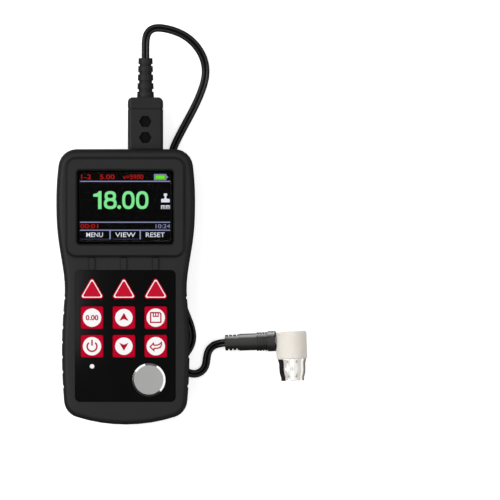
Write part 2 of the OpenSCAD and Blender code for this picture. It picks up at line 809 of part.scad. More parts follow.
// A key: its cap comes through the panel, a flange keeps it in, a pill meets the board
module key_stem() {
    translate([0, 0, pill_z]) cylinder(d = pill_d, h = flange_z - pill_z);
}
module soft_key(x) {
    color("#c01733") translate([x, soft_y, 0]) {
        translate([0, 0, flange_z - key_flange_t]) linear_extrude(key_top - flange_z + key_flange_t)
            soft_shape(0);
        translate([0, 0, flange_z - key_flange_t]) linear_extrude(key_flange_t)
            soft_shape(key_play + key_flange);
        translate([0, -soft_h / 2 + pill_d / 2 + key_flange, 0]) key_stem();
    }
}
module square_key(x, y) {
    color("#b80028") translate([x, y, 0]) {
        translate([0, 0, flange_z - key_flange_t]) linear_extrude(key_top - flange_z + key_flange_t)
            square_shape(0);
        translate([0, 0, flange_z - key_flange_t]) linear_extrude(key_flange_t)
            square_shape(key_play + key_flange);
        key_stem();
    }
}
module soft_key_left() { soft_key(left_x); }
module soft_key_middle() { soft_key(keys_x); }
module soft_key_right() { soft_key(right_x); }
module cal_key() { square_key(left_x, upper_y); }
module up_key() { square_key(keys_x, upper_y); }
module save_key() { square_key(right_x, upper_y); }
module power_key() { square_key(left_x, lower_y); }
module down_key() { square_key(keys_x, lower_y); }
module enter_key() { square_key(right_x, lower_y); }

module key_mat() {
    mat_top_y = soft_y + soft_h / 2 + key_flange;
    mat_foot_y = lower_y - key_w / 2 - key_flange;
    color("#5c5c60") difference() {
        translate([keys_x, (mat_top_y + mat_foot_y) / 2, 0])
            plate(2 * key_pitch_x + key_w, mat_top_y - mat_foot_y, key_w / 4, board_z, mat_z);
        for (x = [left_x, keys_x, right_x]) {
            translate([x, soft_y - soft_h / 2 + pill_d / 2 + key_flange, board_z - eps])
                cylinder(d = pill_d + 4 * key_play, h = 2 * mat_t);
            for (y = [upper_y, lower_y]) translate([x, y, board_z - eps])
                cylinder(d = pill_d + 4 * key_play, h = 2 * mat_t);
        }
    }
}

module zero_disc() {
    chamfer = (disc_d - disc_face_d) / 2;
    color("#c4c6c8") translate([disc_x, disc_y, disc_z]) {
        cylinder(d = disc_d, h = disc_t - chamfer * 0.7);
        translate([0, 0, disc_t - chamfer * 0.7])
            cylinder(d1 = disc_d, d2 = disc_face_d, h = chamfer * 0.7);
    }
}

module status_lamp() {
    lamp_rise = 0.2;
    color("#f2f2ee") translate([lamp_x, lamp_y, board_z]) {
        cylinder(d = lamp_d, h = face_z - board_z + lamp_rise);
        cylinder(d = lamp_d * 1.3, h = (under_z - board_z) / 2);
    }
}

// A cell stands head up or head down between its two contacts
module cell(s) {
    color(s < 0 ? "#3a3c40" : "#34363a") translate([s * cell_x, cell_mid_y, cell_z])
        rotate([s * 90, 0, 0]) translate([0, 0, -cell_l / 2 - nub_l / 2]) {
            cylinder(d = cell_d, h = cell_l);
            cylinder(d = nub_d, h = cell_l + nub_l);
        }
}
module battery_left() { cell(-1); }
module battery_right() { cell(1); }

module battery_contacts() {
    reach_y = (bay_l - cell_l - nub_l) / 2;
    color("#c8c9c6") for (s = [-1, 1]) for (e = [-1, 1])
        translate([s * cell_x, bay_y + e * bay_l / 2, cell_z]) rotate([e * 90, 0, 0]) {
            translate([-spring_d, -spring_d, 0]) cube([2 * spring_d, 2 * spring_d, plate_t]);
            difference() {
                cylinder(d1 = spring_d + 2, d2 = spring_d, h = reach_y);
                translate([0, 0, plate_t]) cylinder(d = spring_d - 2, h = reach_y);
            }
        }
}

module socket(x) {
    color("#c9b06a") translate([x, top_y, plug_z]) rotate([90, 0, 0]) {
        difference() {
            union() {
                cylinder(d = socket_d, h = socket_l);
                translate([0, 0, wall + fit]) cylinder(d = socket_flange_d, h = socket_flange_t);
            }
            translate([0, 0, -eps]) cylinder(d = nose_d + slip, h = socket_bore_l);
        }
        translate([0, 0, socket_bore_l - socket_pin_l]) cylinder(d = socket_pin_d, h = socket_pin_l);
    }
}
module socket_left() { socket(plug_x - pin_side); }
module socket_right() { socket(plug_x + pin_side); }

module plug_shape() {
    round_rect(plug_w, plug_t, plug_r);
}
module plug_body() {
    difference() {
        translate([plug_x, 0, plug_z]) along_y(plug_foot_y, plug_cap_y) plug_shape();
        for (s = [-1, 1]) translate([plug_x + s * pin_side, plug_foot_y - eps, plug_z])
            rotate([-90, 0, 0]) cylinder(d = pin_d + slip, h = pin_body_l + fit);
        translate([plug_x - pin_side - lead_d, plug_foot_y + pin_body_l - eps, plug_z - lead_d])
            cube([2 * pin_side + 2 * lead_d, plug_l, 2 * lead_d]);
        for (y = nut_y) translate([plug_x, y, 0]) {
            cylinder(d = plug_screw_d + slip, h = far);
            translate([0, 0, nut_floor_z])
                cylinder(d = (nut_af + 2 * slip) / cos(30), h = far, $fn = 6);
            cylinder(d = plug_head_d + 2 * slip, h = plug_head_z + plug_head_t);
        }
    }
}
module plug_shell_front() {
    color("#2e2e2e") intersection() {
        plug_body();
        translate([-far / 2, 0, plug_z]) cube([far, 2 * far, far]);
    }
}
module plug_shell_rear() {
    color("#2e2e2e") intersection() {
        plug_body();
        translate([-far / 2, 0, plug_z - far]) cube([far, 2 * far, far]);
    }
}
module plug_cap() {
    color("#2e2e2e") intersection() {
        translate([plug_x, 0, plug_z]) {
            along_y(plug_cap_y, plug_cap_y + cap_step_l)
                round_rect(plug_w - 2 * cap_step, plug_t - 2 * cap_step, plug_r - cap_step);
            along_y(plug_cap_y + cap_step_l, boot_y) plug_shape();
        }
        translate([plug_x, boot_y - plug_w / 2, 0]) plate(plug_w, plug_w, plug_corner_r, 0, far);
    }
}
module plug_screws() {
    color("#3c3d40") for (y = nut_y) translate([plug_x, y, plug_head_z]) difference() {
        union() {
            cylinder(d = plug_head_d, h = plug_head_t);
            cylinder(d = plug_screw_d, h = nut_floor_z + nut_t - plug_head_z + slip);
        }
        translate([0, 0, -eps]) cylinder(d = plug_screw_d * 2 / 3, h = plug_head_t / 2, $fn = 6);
    }
}
module plug_nuts() {
    color("#3c3d40") for (y = nut_y) translate([plug_x, y, nut_floor_z]) difference() {
        cylinder(d = nut_af / cos(30), h = nut_t, $fn = 6);
        translate([0, 0, -eps]) cylinder(d = plug_screw_d + fit, h = 2 * nut_t);
    }
}
module plug_pin(x) {
    color("#c9b06a") translate([x, plug_foot_y, plug_z]) {
        rotate([-90, 0, 0]) cylinder(d = pin_d, h = pin_body_l);
        rotate([90, 0, 0]) difference() {
            translate([0, 0, -eps]) cylinder(d = nose_d, h = nose_l);
            translate([0, 0, socket_pin_d]) cylinder(d = socket_pin_d + 2 * slip, h = nose_l);
        }
    }
}
module plug_pin_left() { plug_pin(plug_x - pin_side); }
module plug_pin_right() { plug_pin(plug_x + pin_side); }

// Half section of the plug's boot: ribs with grooves between, thinner towards the tip
boot_pitch = boot_l / (boot_ribs - 0.4);
function boot_radius(y) = (boot_base_d + (boot_tip_d - boot_base_d) * y / boot_l) / 2;
function rib_points(y, h) = [
    [boot_radius(y), y], [boot_radius(y + h), y + h],
    [boot_radius(y + h) - boot_groove, y + h], [boot_radius(y) - boot_groove, y + boot_pitch]
];
module plug_boot() {
    rib_h = boot_pitch * 0.68;
    color("#292929") translate([plug_x, boot_y, plug_z]) rotate([-90, 0, 0]) rotate_extrude()
        polygon(concat(
            [[0, 0]],
            [for (i = [0:boot_ribs - 2]) for (p = rib_points(i * boot_pitch, rib_h)) p],
            [[boot_radius(boot_l - rib_h), boot_l - rib_h], [boot_radius(boot_l), boot_l],
                [0, boot_l]]
        ));
}

module probe_lead_left() {
    color("#1c1c1c") loft(lead_rings(-1));
}
module probe_lead_right() {
    color("#1c1c1c") loft(lead_rings(1));
}

// Places a piece of the probe: contact face at y = 0, cap above it, boot towards -x
module on_probe() {
    translate(probe_at) rotate([0, 0, probe_turn]) rotate([0, -roll, 0]) children();
}
module from_face(y) {
    on_probe() translate([0, y, 0]) rotate([-90, 0, 0]) children();
}
module from_cap() {
    on_probe() translate([0, port_y, 0]) rotate([0, -90, 0]) children();
}

// The boot's half section along its own axis, from the cap outwards
boot_in = cap_d / 2 + fit;
ring_l = 0.9;
ring_gap = 0.6;
rings_at = boot_in + collar_l + ring_gap;
barrel_at = rings_at + boot_rings * (ring_l + ring_gap);
barrel_end = reach - 7.6;
slot_l = 1;
slot_pitch = 2.2;
slot_d = 0.9;
module probe_boot() {
    color("#3d3c3a") from_cap() difference() {
        rotate_extrude() polygon(concat(
            [[gland_d / 2 + fit, boot_in], [collar_d / 2, boot_in],
                [collar_d / 2, boot_in + collar_l], [barrel_d / 2, boot_in + collar_l]],
            [for (i = [0:boot_rings - 1]) let (s = rings_at + i * (ring_l + ring_gap))
                for (p = [[barrel_d / 2, s], [ring_d / 2, s],
                    [ring_d / 2, s + ring_l], [barrel_d / 2, s + ring_l]]) p],
            [[barrel_d / 2, barrel_end], [relief_d / 2, barrel_end], [relief_d / 2, reach],
                [0, reach], [0, boot_in + gland_l], [gland_d / 2 + fit, boot_in + gland_l]]
        ));
        for (i = [0:relief_slots - 1]) for (s = [-1, 1])
            translate([-far / 2, s * (relief_d / 2 - slot_d) + (s < 0 ? -far : 0),
                barrel_end + slot_l + i * slot_pitch]) cube([far, far, slot_l]);
    }
}
module probe_gland() {
    color("#b5b6b8") from_cap() difference() {
        translate([0, 0, cap_hollow_d / 2 + fit])
            cylinder(d = gland_d, h = boot_in + gland_l - cap_hollow_d / 2 - 2 * fit);
        cylinder(d = gland_bore_d, h = far);
    }
}
module probe_cap() {
    cap_y = probe_nose_l;
    color("#e8e3d9") difference() {
        from_face(cap_y) {
            cylinder(d1 = cap_d - 2 * cap_edge, d2 = cap_d, h = cap_edge);
            translate([0, 0, cap_edge]) cylinder(d = cap_d, h = cap_l - 2 * cap_edge);
            translate([0, 0, cap_l - cap_edge])
                cylinder(d1 = cap_d, d2 = cap_d - 2 * cap_edge, h = cap_edge);
        }
        from_face(cap_y - eps) {
            cylinder(d = nose_neck_d + slip, h = cap_bore_l);
            cylinder(d = cap_hollow_d, h = cap_hollow_l);
        }
        from_cap() cylinder(d = gland_d + 2 * fit, h = far);
    }
}
module probe_nose() {
    color("#d5d4d0") from_face(0) difference() {
        union() {
            rotate_extrude() polygon(concat(
                [[0, 0]],
                [for (i = [0:nose_steps]) let (t = i / nose_steps)
                    [(face_d + (nose_mid_d - face_d) * pow(sin(90 * t), 0.8)) / 2, nose_taper_l * t]],
                [[nose_mid_d / 2, probe_nose_l - nose_flare_l - nose_lip],
                    [probe_nose_d / 2, probe_nose_l - nose_lip], [probe_nose_d / 2, probe_nose_l],
                    [0, probe_nose_l]]
            ));
            cylinder(d = nose_neck_d, h = probe_nose_l + nose_neck_l);
        }
        translate([0, 0, -eps]) cylinder(d = delay_d + 2 * fit, h = far);
    }
}
module delay_half(s) {
    color("#d8e2e0") from_face(0) intersection() {
        cylinder(d = delay_d, h = delay_l);
        translate([s < 0 ? -far - barrier_t / 2 : barrier_t / 2, -far / 2, 0]) cube(far);
    }
}
module delay_block_left() { delay_half(-1); }
module delay_block_right() { delay_half(1); }
module probe_barrier() {
    color("#7a5a3a") from_face(0) intersection() {
        cylinder(d = delay_d, h = delay_l + crystal_t);
        translate([-barrier_t / 2, -far / 2, 0]) cube([barrier_t, far, far]);
    }
}
module probe_crystals() {
    color("#c9c2a6") from_face(delay_l) difference() {
        cylinder(d = crystal_d, h = crystal_t);
        translate([-barrier_t / 2, -far / 2, -eps]) cube([barrier_t, far, far]);
    }
}
module probe_backing() {
    color("#4a4744") from_face(delay_l + crystal_t) cylinder(d = backing_d, h = backing_l);
}

front_case();
rear_case();
battery_cover();
case_screws();
display_window();
lcd_glass();
lcd_frame();
main_board();
board_screws();
keypad_panel();
soft_key_left();
soft_key_middle();
soft_key_right();
cal_key();
up_key();
save_key();
power_key();
down_key();
enter_key();
key_mat();
zero_disc();
status_lamp();
battery_left();
battery_right();
battery_contacts();
socket_left();
socket_right();
plug_shell_front();
plug_shell_rear();
plug_cap();
plug_screws();
plug_nuts();
plug_pin_left();
plug_pin_right();
plug_boot();
probe_lead_left();
probe_lead_right();
probe_boot();
probe_gland();
probe_cap();
probe_nose();
delay_block_left();
delay_block_right();
probe_barrier();
probe_crystals();
probe_backing();
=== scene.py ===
# %% [markdown]
# # A handheld ultrasonic thickness gauge
# The gauge lies on its back with its face up. A plug with two coaxial pins sits in its top edge, and two
# thin leads run from there, side by side, round and under the case to a small right-angle probe.
# The solids come packed from the CAD source. This script gives them their finishes and adds what
# is printed, lit or too fine for the solids. One unit is a metre, and most sizes below are in millimetres.

# %% Load the solids
import math

import bpy
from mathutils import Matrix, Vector
from mathutils.geometry import tessellate_polygon


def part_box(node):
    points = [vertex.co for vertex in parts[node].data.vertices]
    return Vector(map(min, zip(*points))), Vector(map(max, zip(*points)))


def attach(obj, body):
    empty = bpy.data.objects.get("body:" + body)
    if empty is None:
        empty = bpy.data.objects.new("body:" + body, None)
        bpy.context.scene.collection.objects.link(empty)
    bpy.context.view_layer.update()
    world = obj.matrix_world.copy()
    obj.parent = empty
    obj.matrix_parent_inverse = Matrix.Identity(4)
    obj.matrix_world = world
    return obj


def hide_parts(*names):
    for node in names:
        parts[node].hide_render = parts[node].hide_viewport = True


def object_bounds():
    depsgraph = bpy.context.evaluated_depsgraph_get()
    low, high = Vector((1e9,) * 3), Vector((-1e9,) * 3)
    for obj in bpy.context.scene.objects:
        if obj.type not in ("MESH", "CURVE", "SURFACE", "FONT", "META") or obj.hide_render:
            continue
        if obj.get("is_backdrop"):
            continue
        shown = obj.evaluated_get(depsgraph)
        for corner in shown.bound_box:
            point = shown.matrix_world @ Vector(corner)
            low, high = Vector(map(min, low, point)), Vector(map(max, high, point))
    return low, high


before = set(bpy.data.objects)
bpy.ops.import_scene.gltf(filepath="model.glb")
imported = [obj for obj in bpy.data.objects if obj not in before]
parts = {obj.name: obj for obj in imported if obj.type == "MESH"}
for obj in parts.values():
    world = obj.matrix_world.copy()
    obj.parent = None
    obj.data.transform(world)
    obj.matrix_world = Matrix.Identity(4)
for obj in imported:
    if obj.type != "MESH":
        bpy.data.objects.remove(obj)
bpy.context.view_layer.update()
MM = 0.001

# %% [markdown]
# ## Camera
# The gauge is seen straight from above and from far away, because its face shows no sides and both
# edges of the raised bezel look alike. A long lens at three metres gives that. One pixel of a frame
# of 500 is 0.54 mm at the height of the face, which comes from the size of the display.

# %% Camera
PIXEL, FRAME = 0.54 * MM, 500
GAUGE_X, GAUGE_Y = 125.4, 286.9  # the gauge's own middle in the frame, in pixels from its upper left corner
FACE_Z, DISTANCE = 30 * MM, 3.0
middle = Vector(((FRAME / 2 - GAUGE_X) * PIXEL, (GAUGE_Y - FRAME / 2) * PIXEL, FACE_Z))
camera = bpy.data.objects.new("camera", bpy.data.cameras.new("camera"))
bpy.context.collection.objects.link(camera)
camera.data.lens = camera.data.sensor_width * DISTANCE / (FRAME * PIXEL)
camera.location = middle + Vector((0, 0, DISTANCE))
bpy.context.scene.camera = camera
print("lens in mm:", round(camera.data.lens, 1))

# %% [markdown]
# ## Knurled cap
# The cap of the probe is turned from plastic and knurled for the fingers: two wheels press crossing
# grooves into it and leave small pyramids. A bump map could fake them, but pyramids of a millimetre show
# at the outline too, so the cap is a tube of rings whose radius goes up and down. The real grooves are
# finer than a pixel, so they are drawn somewhat coarser. Each point also keeps how deep in a groove it
# lies, and the finish below darkens it by that: painted shade in the floors of the grooves.

# %% Rings of the cap
CAP_R, CAP_L, CAP_EDGE, BORE_R = 8.5, 15.0, 0.7, 6.3  # radius, length, chamfer and bore
TURN = math.radians(2)
GROOVES, STEPS, DEPTH = 40, 6, 0.25
FLOOR = 3  # a power that keeps the painted shade to the floor of a groove
low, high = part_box("probe_cap")
axis = Vector((-math.sin(TURN), math.cos(TURN), 0))
across = Vector((math.cos(TURN), math.sin(TURN), 0))


def ridge(turns):
    """Height between two grooves, from 0 in a groove to 1 on the ridge."""
    return 1 - abs(turns % 1 * 2 - 1)


pitch = 2 * math.pi * CAP_R / GROOVES
reach = CAP_L / 2 - CAP_EDGE
count = round(2 * reach / pitch * STEPS)
stations = [(BORE_R, -CAP_L / 2, 0), (CAP_R - CAP_EDGE, -CAP_L / 2, 0)]
stations += [(CAP_R, -reach + 2 * reach * k / count, DEPTH) for k in range(count + 1)]
stations += [(CAP_R - CAP_EDGE, CAP_L / 2, 0)]
cap_points, cap_faces, cap_groove_shade = [], [], []
around = GROOVES * STEPS
for r, y, depth in stations:
    for k in range(around):
        turns = k / STEPS
        groove = 1 - min(ridge(turns + y / pitch), ridge(turns - y / pitch))
        press = depth * groove
        # how much painted shade a point gets: full at the floor of a groove, none on a ridge
        cap_groove_shade.append(groove ** FLOOR if depth else 0)
        a = 2 * math.pi * k / around
        out = math.cos(a) * across + math.sin(a) * Vector((0, 0, 1))
        cap_points.append((low + high) / 2 + ((r - press) * out + y * axis) * MM)
print("groove distance in mm:", round(pitch, 2), "rings:", len(stations))

# %% Knurled cap
for row in range(len(stations) - 1):
    for k in range(around):
        i, j = row * around + k, row * around + (k + 1) % around
        cap_faces.append((i, i + around, j + around, j))
cap_faces.append(tuple(range(len(cap_points) - around, len(cap_points)))[::-1])
cap_mesh = bpy.data.meshes.new("knurled_cap")
cap_mesh.from_pydata(cap_points, [], cap_faces)
cap_mesh.attributes.new("groove", "FLOAT", "POINT").data.foreach_set("value", cap_groove_shade)
cap = bpy.data.objects.new("knurled_cap", cap_mesh)
bpy.context.collection.objects.link(cap)
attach(cap, "meter")
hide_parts("probe_cap")
print("faces of the cap:", len(cap_faces))

# %% [markdown]
# ## Two leads
# One crystal of the probe sends and the other listens, so there are two thin coaxial leads, laid side by
# side and joined by a thin web. Their middle line is a cubic B-spline: it stays inside its points and
# bends evenly. Each lead is a bevelled curve, which keeps its round section in every bend and needs no
# mesh of its own. A curve's box grows by the radius of its points, so that radius is the real one and
# the bevel only multiplies it by one.

# %% Middle line of the leads
ROUTE = [
    (10.6, 124, 16), (10.6, 128, 16), (10.6, 132.4, 16), (11.1, 137.3, 15.4), (14.2, 140.4, 14.4),
    (18.6, 140.7, 13.2), (23.6, 139.8, 11.6), (28.6, 138.2, 9.9), (33.4, 135.6, 8),
    (37.6, 131.8, 6), (40.8, 127.2, 4), (42.8, 122, 2.3), (43.3, 116.6, 1.4),
    (42.4, 111.2, 1.2), (40.4, 105.4, 1.2), (37.8, 99.4, 1.2), (34.6, 93.2, 1.2),
    (31, 86.6, 1.2), (27.6, 80.2, 1.2), (24.9, 74.4, 1.2), (24.6, 69.2, 1.2),
    (27.2, 64.6, 1.2), (30.7, 60, 1.2), (33.2, 54.4, 1.2), (34, 46, 1.2),
    (33.6, 35, 1.2), (32.4, 24, 1.2), (30.6, 13, 1.2), (29.4, 3, 1.2),
    (29.6, -6, 1.2), (31.6, -13.4, 1.2), (34.6, -20, 1.2), (36.3, -26.6, 1.2),
    (35.2, -32.6, 1.2), (31.8, -37, 1.2), (29.9, -41.2, 1.2), (31.4, -45.8, 1.2),
    (35.6, -48, 1.2), (40.2, -47.2, 1.2), (43.2, -43.8, 1.2), (43.6, -39.2, 1.2),
    (44.4, -34.8, 1.4), (47.4, -31.8, 2.2), (50.8, -30.9, 3.6), (54.01, -30.56, 4.3),
]
CUTS = 6
route = [Vector(p) for p in ROUTE]
route = [2 * route[0] - route[1]] + route + [2 * route[-1] - route[-2]]


def on_route(i, t):
    """The point at share t of stretch i of the middle line."""
    a, b, c, d = route[i:i + 4]
    return ((1 - t) ** 3 * a + (3 * t ** 3 - 6 * t * t + 4) * b
            + (3 * t + 3 * t * t - 3 * t ** 3 + 1) * c + t ** 3 * d) / 6


middle_line = [on_route(i, k / CUTS) for i in range(len(ROUTE) - 1) for k in range(CUTS)]
middle_line.append(on_route(len(ROUTE) - 2, 1))
print("points on the middle line:", len(middle_line))

# %% The two leads
LEAD_R, LEAD_SIDE = 1.1, 1.05  # radius, and distance from the middle line
leads = []
for name, hand in (("probe_lead_left", -1), ("probe_lead_right", 1)):
    line = []
    for i, p in enumerate(middle_line):
        way = middle_line[min(i + 1, len(middle_line) - 1)] - middle_line[max(i - 1, 0)]
        line.append((p + hand * LEAD_SIDE * way.cross(Vector((0, 0, 1))).normalized()) * MM)
    curve = bpy.data.curves.new(name + "_sheath", "CURVE")
    curve.dimensions = "3D"
    curve.bevel_depth = 1
    curve.bevel_resolution = 4
    curve.use_fill_caps = True
    spline = curve.splines.new("POLY")
    spline.points.add(len(line) - 1)
    for point, p in zip(spline.points, line):
        point.co = (*p, 1)
        point.radius = LEAD_R * MM
    lead = bpy.data.objects.new(name + "_sheath", curve)
    bpy.context.collection.objects.link(lead)
    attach(lead, "meter")
    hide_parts(name)
    leads.append(lead)

# %% [markdown]
# ## Colours and nodes
# Colours are written as sRGB hex values, as they are read off a screen, but shaders count in linear
# light. One function turns one into the other. A second one adds a shader node with its settings, so
# that a finish below reads as a list of what it is made of, and a third one starts a finish.

# %% Helpers for finishes
def linear(code):
    """The linear colour of an sRGB hex value."""
    channels = [int(code[i:i + 2], 16) / 255 for i in (1, 3, 5)]
    return [c / 12.92 if c <= 0.04045 else ((c + 0.055) / 1.055) ** 2.4 for c in channels] + [1]


def add(tree, kind, inputs={}, **settings):
    """One node. An input is a plain value, or a pair of a node and the name of its output."""
    node = tree.nodes.new(kind)
    for name, value in settings.items():
        setattr(node, name, value)
    for name, value in inputs.items():
        if isinstance(value, tuple) and isinstance(value[0], bpy.types.Node):
            tree.links.new(value[0].outputs[value[1]], node.inputs[name])
        else:
            node.inputs[name].default_value = value
    return node


def finish(name, shader):
    """An empty material with one Principled BSDF that holds the given plain values."""
    material = bpy.data.materials.new(name)
    material.use_nodes = True
    material.node_tree.nodes.clear()
    surface = add(material.node_tree, "ShaderNodeBsdfPrincipled", shader)
    add(material.node_tree, "ShaderNodeOutputMaterial", {"Surface": (surface, "BSDF")})
    return material, material.node_tree, surface


print("mid grey:", [round(v, 3) for v in linear("#808080")])

# %% [markdown]
# ## Moulded plastics and rubbers
# Most of the gauge is injection moulded. A mould is spark-eroded, which leaves a fine orange-peel grain
# on the plastic, its colour drifts a little with the flow of the melt, and no edge is quite sharp.
# All three come from one recipe: noise for the drift, finer noise for the grain, and a rounded
# normal at edges. Real grain is 0.1 mm and too fine to show, so it is drawn several times coarser.
# The case also gets painted shade: it is darker along the foot of the bezel and in its grooves.
# The Ambient Occlusion node finds such places, as it tells how far a point is walled in.

# %% A recipe for moulded surfaces
DRIFT = 14.0  # width of a drift of colour in millimetres
SHADE_REACH, WALLED, OPEN = 2.5, 0.6, 0.96  # reach of the painted shade in a crease, and how open a walled and a free face are


def moulded(name, light, dark, rough, grain=0.5, depth=0.006, edge=0.35, shader={}, painted_shade=None,
            crease_shade=None):
    """A moulded finish: two colours that drift, grain and edge radius in millimetres, painted shade in
    grooves and creases.
    """
    material, tree, surface = finish(name, {"Roughness": rough, **shader})
    place = add(tree, "ShaderNodeTexCoord")
    drift = add(tree, "ShaderNodeTexNoise", {"Vector": (place, "Object"), "Scale": 1 / (DRIFT * MM),
                                             "Detail": 3})
    colour = add(tree, "ShaderNodeMix", {"Factor": (drift, "Fac"), "A": linear(dark),
                                         "B": linear(light)}, data_type="RGBA")
    if painted_shade:
        # painted shade: darker towards the floor of each knurl groove
        deep = add(tree, "ShaderNodeAttribute", attribute_name="groove")
        colour = add(tree, "ShaderNodeMix", {"Factor": (deep, "Fac"), "A": (colour, "Result"),
                                             "B": linear(painted_shade)}, data_type="RGBA")
    if crease_shade:
        # painted shade: darker where the face is walled in, along the foot of the bezel and in grooves
        walled = add(tree, "ShaderNodeAmbientOcclusion", {"Distance": SHADE_REACH * MM}, samples=8)
        unshaded = add(tree, "ShaderNodeMapRange", {"Value": (walled, "AO"), "From Min": WALLED,
                                                    "From Max": OPEN})
        colour = add(tree, "ShaderNodeMix", {"Factor": (unshaded, "Result"), "A": linear(crease_shade),
                                             "B": (colour, "Result")}, data_type="RGBA")
    tree.links.new(colour.outputs["Result"], surface.inputs["Base Color"])
    round_edge = add(tree, "ShaderNodeBevel", {"Radius": edge * MM}, samples=4)
    peel = add(tree, "ShaderNodeTexNoise", {"Vector": (place, "Object"), "Scale": 1 / (grain * MM),
                                            "Detail": 2})
    bump = add(tree, "ShaderNodeBump", {"Height": (peel, "Fac"), "Distance": depth * MM,
                                        "Normal": (round_edge, "Normal")})
    tree.links.new(bump.outputs["Normal"], surface.inputs["Normal"])
    return material


print("colour drifts over mm:", DRIFT, "and grime reaches mm:", SHADE_REACH)

# %% Moulded finishes
# ABS with a fine spark texture: a soft, wide and weak highlight, because the texture shades itself.
# The case is darkened with painted shade along the foot of the bezel and in its grooves.
case_abs = moulded("case_abs", "#232323", "#1d1d1d", 0.5, grain=0.7, depth=0.012, edge=0.5,
                   shader={"Specular IOR Level": 0.2}, crease_shade="#080808")
# The plug block is the same plastic from a smoother mould.
plug_abs = moulded("plug_abs", "#222222", "#1c1c1c", 0.45, grain=0.8, depth=0.01, edge=0.4,
                   shader={"Specular IOR Level": 0.2})
# Keys are red ABS caps with a satin skin: a full red with hardly any white in it.
key_abs = moulded("key_abs", "#be0029", "#b80026", 0.42, grain=0.5, depth=0.004, edge=0.25,
                  shader={"Specular IOR Level": 0.03})
# The soft keys are a lighter red, seen through a clear film.
film_red = moulded("film_red", "#c61031", "#be0c2d", 0.4, grain=0.5, depth=0.004, edge=0.25,
                   shader={"Specular IOR Level": 0.05})
# Soft PVC of boots: dull, because plasticiser blooms on its skin.
boot_pvc = moulded("boot_pvc", "#1f1f1f", "#1a1a1a", 0.55, grain=0.6, depth=0.01, edge=0.25,
                   shader={"Specular IOR Level": 0.25})
# The probe's boot is handled more, so its skin is rubbed smoother.
probe_pvc = moulded("probe_pvc", "#222120", "#1c1b1a", 0.38, grain=0.6, depth=0.01, edge=0.25,
                    shader={"Specular IOR Level": 0.4})
# A lead's sheath is drawn through a die, so it is smoother and shines along its length.
lead_pvc = moulded("lead_pvc", "#101010", "#0b0b0b", 0.32, grain=1.2, depth=0.01, edge=0.1,
                   shader={"Specular IOR Level": 0.35})
# Acetal of the probe's cap: cream and waxy, so light goes a little way into it.
# Its groove floors are darkened with painted shade.
cap_acetal = moulded("cap_acetal", "#fffbf3", "#faf5eb", 0.42, grain=0.8, depth=0.006, edge=0.25,
                     shader={"Subsurface Weight": 0.1, "Subsurface Scale": 0.5 * MM}, painted_shade="#e2dacd")
# Silicone of the key mat: grey and matt.
mat_silicone = moulded("mat_silicone", "#626266", "#58585c", 0.6)
# Solder mask on the board: a green lacquer with some gloss.
board_mask = moulded("board_mask", "#1f6040", "#195236", 0.35, grain=1.5)
# Resin filled with metal powder, cast behind the crystals: grey and dull.
backing_resin = moulded("backing_resin", "#4e4b48", "#45423f", 0.5)
# Milky acrylic of the lamp: white and glossy, without light of its own.
lens_milky = moulded("lens_milky", "#fdfdfa", "#f7f7f3", 0.25, edge=0.2)
# Shrink film round the cells: dark and shiny.
cell_wrap = moulded("cell_wrap", "#35373b", "#2c2e32", 0.3, grain=2.0)
print("moulded finishes:", len(bpy.data.materials))

# %% [markdown]
# ## Face panel
# The panel round the keys is a sheet of polycarbonate, black on its back and glossy on its front. Gloss
# is a low roughness, and a slow noise makes the sheet not quite flat, as a pressed sheet is.

# %% Glossy polycarbonate
WAVE, RIPPLE = 9.0, 0.02  # width and depth in millimetres
panel_gloss, tree, surface = finish("panel_polycarbonate", {"Roughness": 0.14, "IOR": 1.58})
place = add(tree, "ShaderNodeTexCoord")
wave = add(tree, "ShaderNodeTexNoise", {"Vector": (place, "Object"), "Scale": 1 / (WAVE * MM)})
shade = add(tree, "ShaderNodeValToRGB", {"Fac": (wave, "Fac")})
shade.color_ramp.elements[0].color = linear("#030303")
shade.color_ramp.elements[1].color = linear("#070707")
bump = add(tree, "ShaderNodeBump", {"Height": (wave, "Fac"), "Distance": RIPPLE * MM})
tree.links.new(shade.outputs["Color"], surface.inputs["Base Color"])
tree.links.new(bump.outputs["Normal"], surface.inputs["Normal"])
print("panel roughness:", surface.inputs["Roughness"].default_value)

# %% [markdown]
# ## Metals
# The calibration disc is turned from stainless steel and ground on its face, so fine rings run round
# its middle, while its chamfer is left bright from the tool: roughness changes at the face's edge.
# The probe's nose is polished until it mirrors the room. Screws are zinc plated, blackened in the plug,
# and contacts are brass. A metal's colour is the colour of its reflection.

# %% Metals
def metal(name, light, dark, rough, size, stretch=(1, 1, 1), depth=0.004):
    """A metal whose tone and height drift over marks of one size in millimetres."""
    material, tree, surface = finish(name, {"Metallic": 1, "Roughness": rough})
    place = add(tree, "ShaderNodeTexCoord")
    turn = add(tree, "ShaderNodeMapping", {"Vector": (place, "Object"), "Scale": stretch})
    marks = add(tree, "ShaderNodeTexNoise", {"Vector": (turn, "Vector"), "Scale": 1 / (size * MM)})
    shade = add(tree, "ShaderNodeValToRGB", {"Fac": (marks, "Fac")})
    shade.color_ramp.elements[0].color = linear(dark)
    shade.color_ramp.elements[1].color = linear(light)
    tree.links.new(shade.outputs["Color"], surface.inputs["Base Color"])
    bump = add(tree, "ShaderNodeBump", {"Height": (marks, "Fac"), "Distance": depth * MM})
    tree.links.new(bump.outputs["Normal"], surface.inputs["Normal"])
    return material


# Polished steel: a nearly sharp mirror.
nose_steel = metal("nose_polished_steel", "#dad7d2", "#d3d0cb", 0.12, 6, depth=0.001)
# Zinc plating: pale and satin.
zinc_plate = metal("zinc_plate", "#c4c6ca", "#b0b2b6", 0.35, 2)
# Black oxide on steel: dark and dull.
black_oxide = metal("black_oxide_steel", "#18181a", "#101012", 0.5, 2)
# Brass plating: warm yellow, wiped by its mating parts.
brass_plate = metal("brass_plate", "#d8bd78", "#c2a660", 0.3, 2)
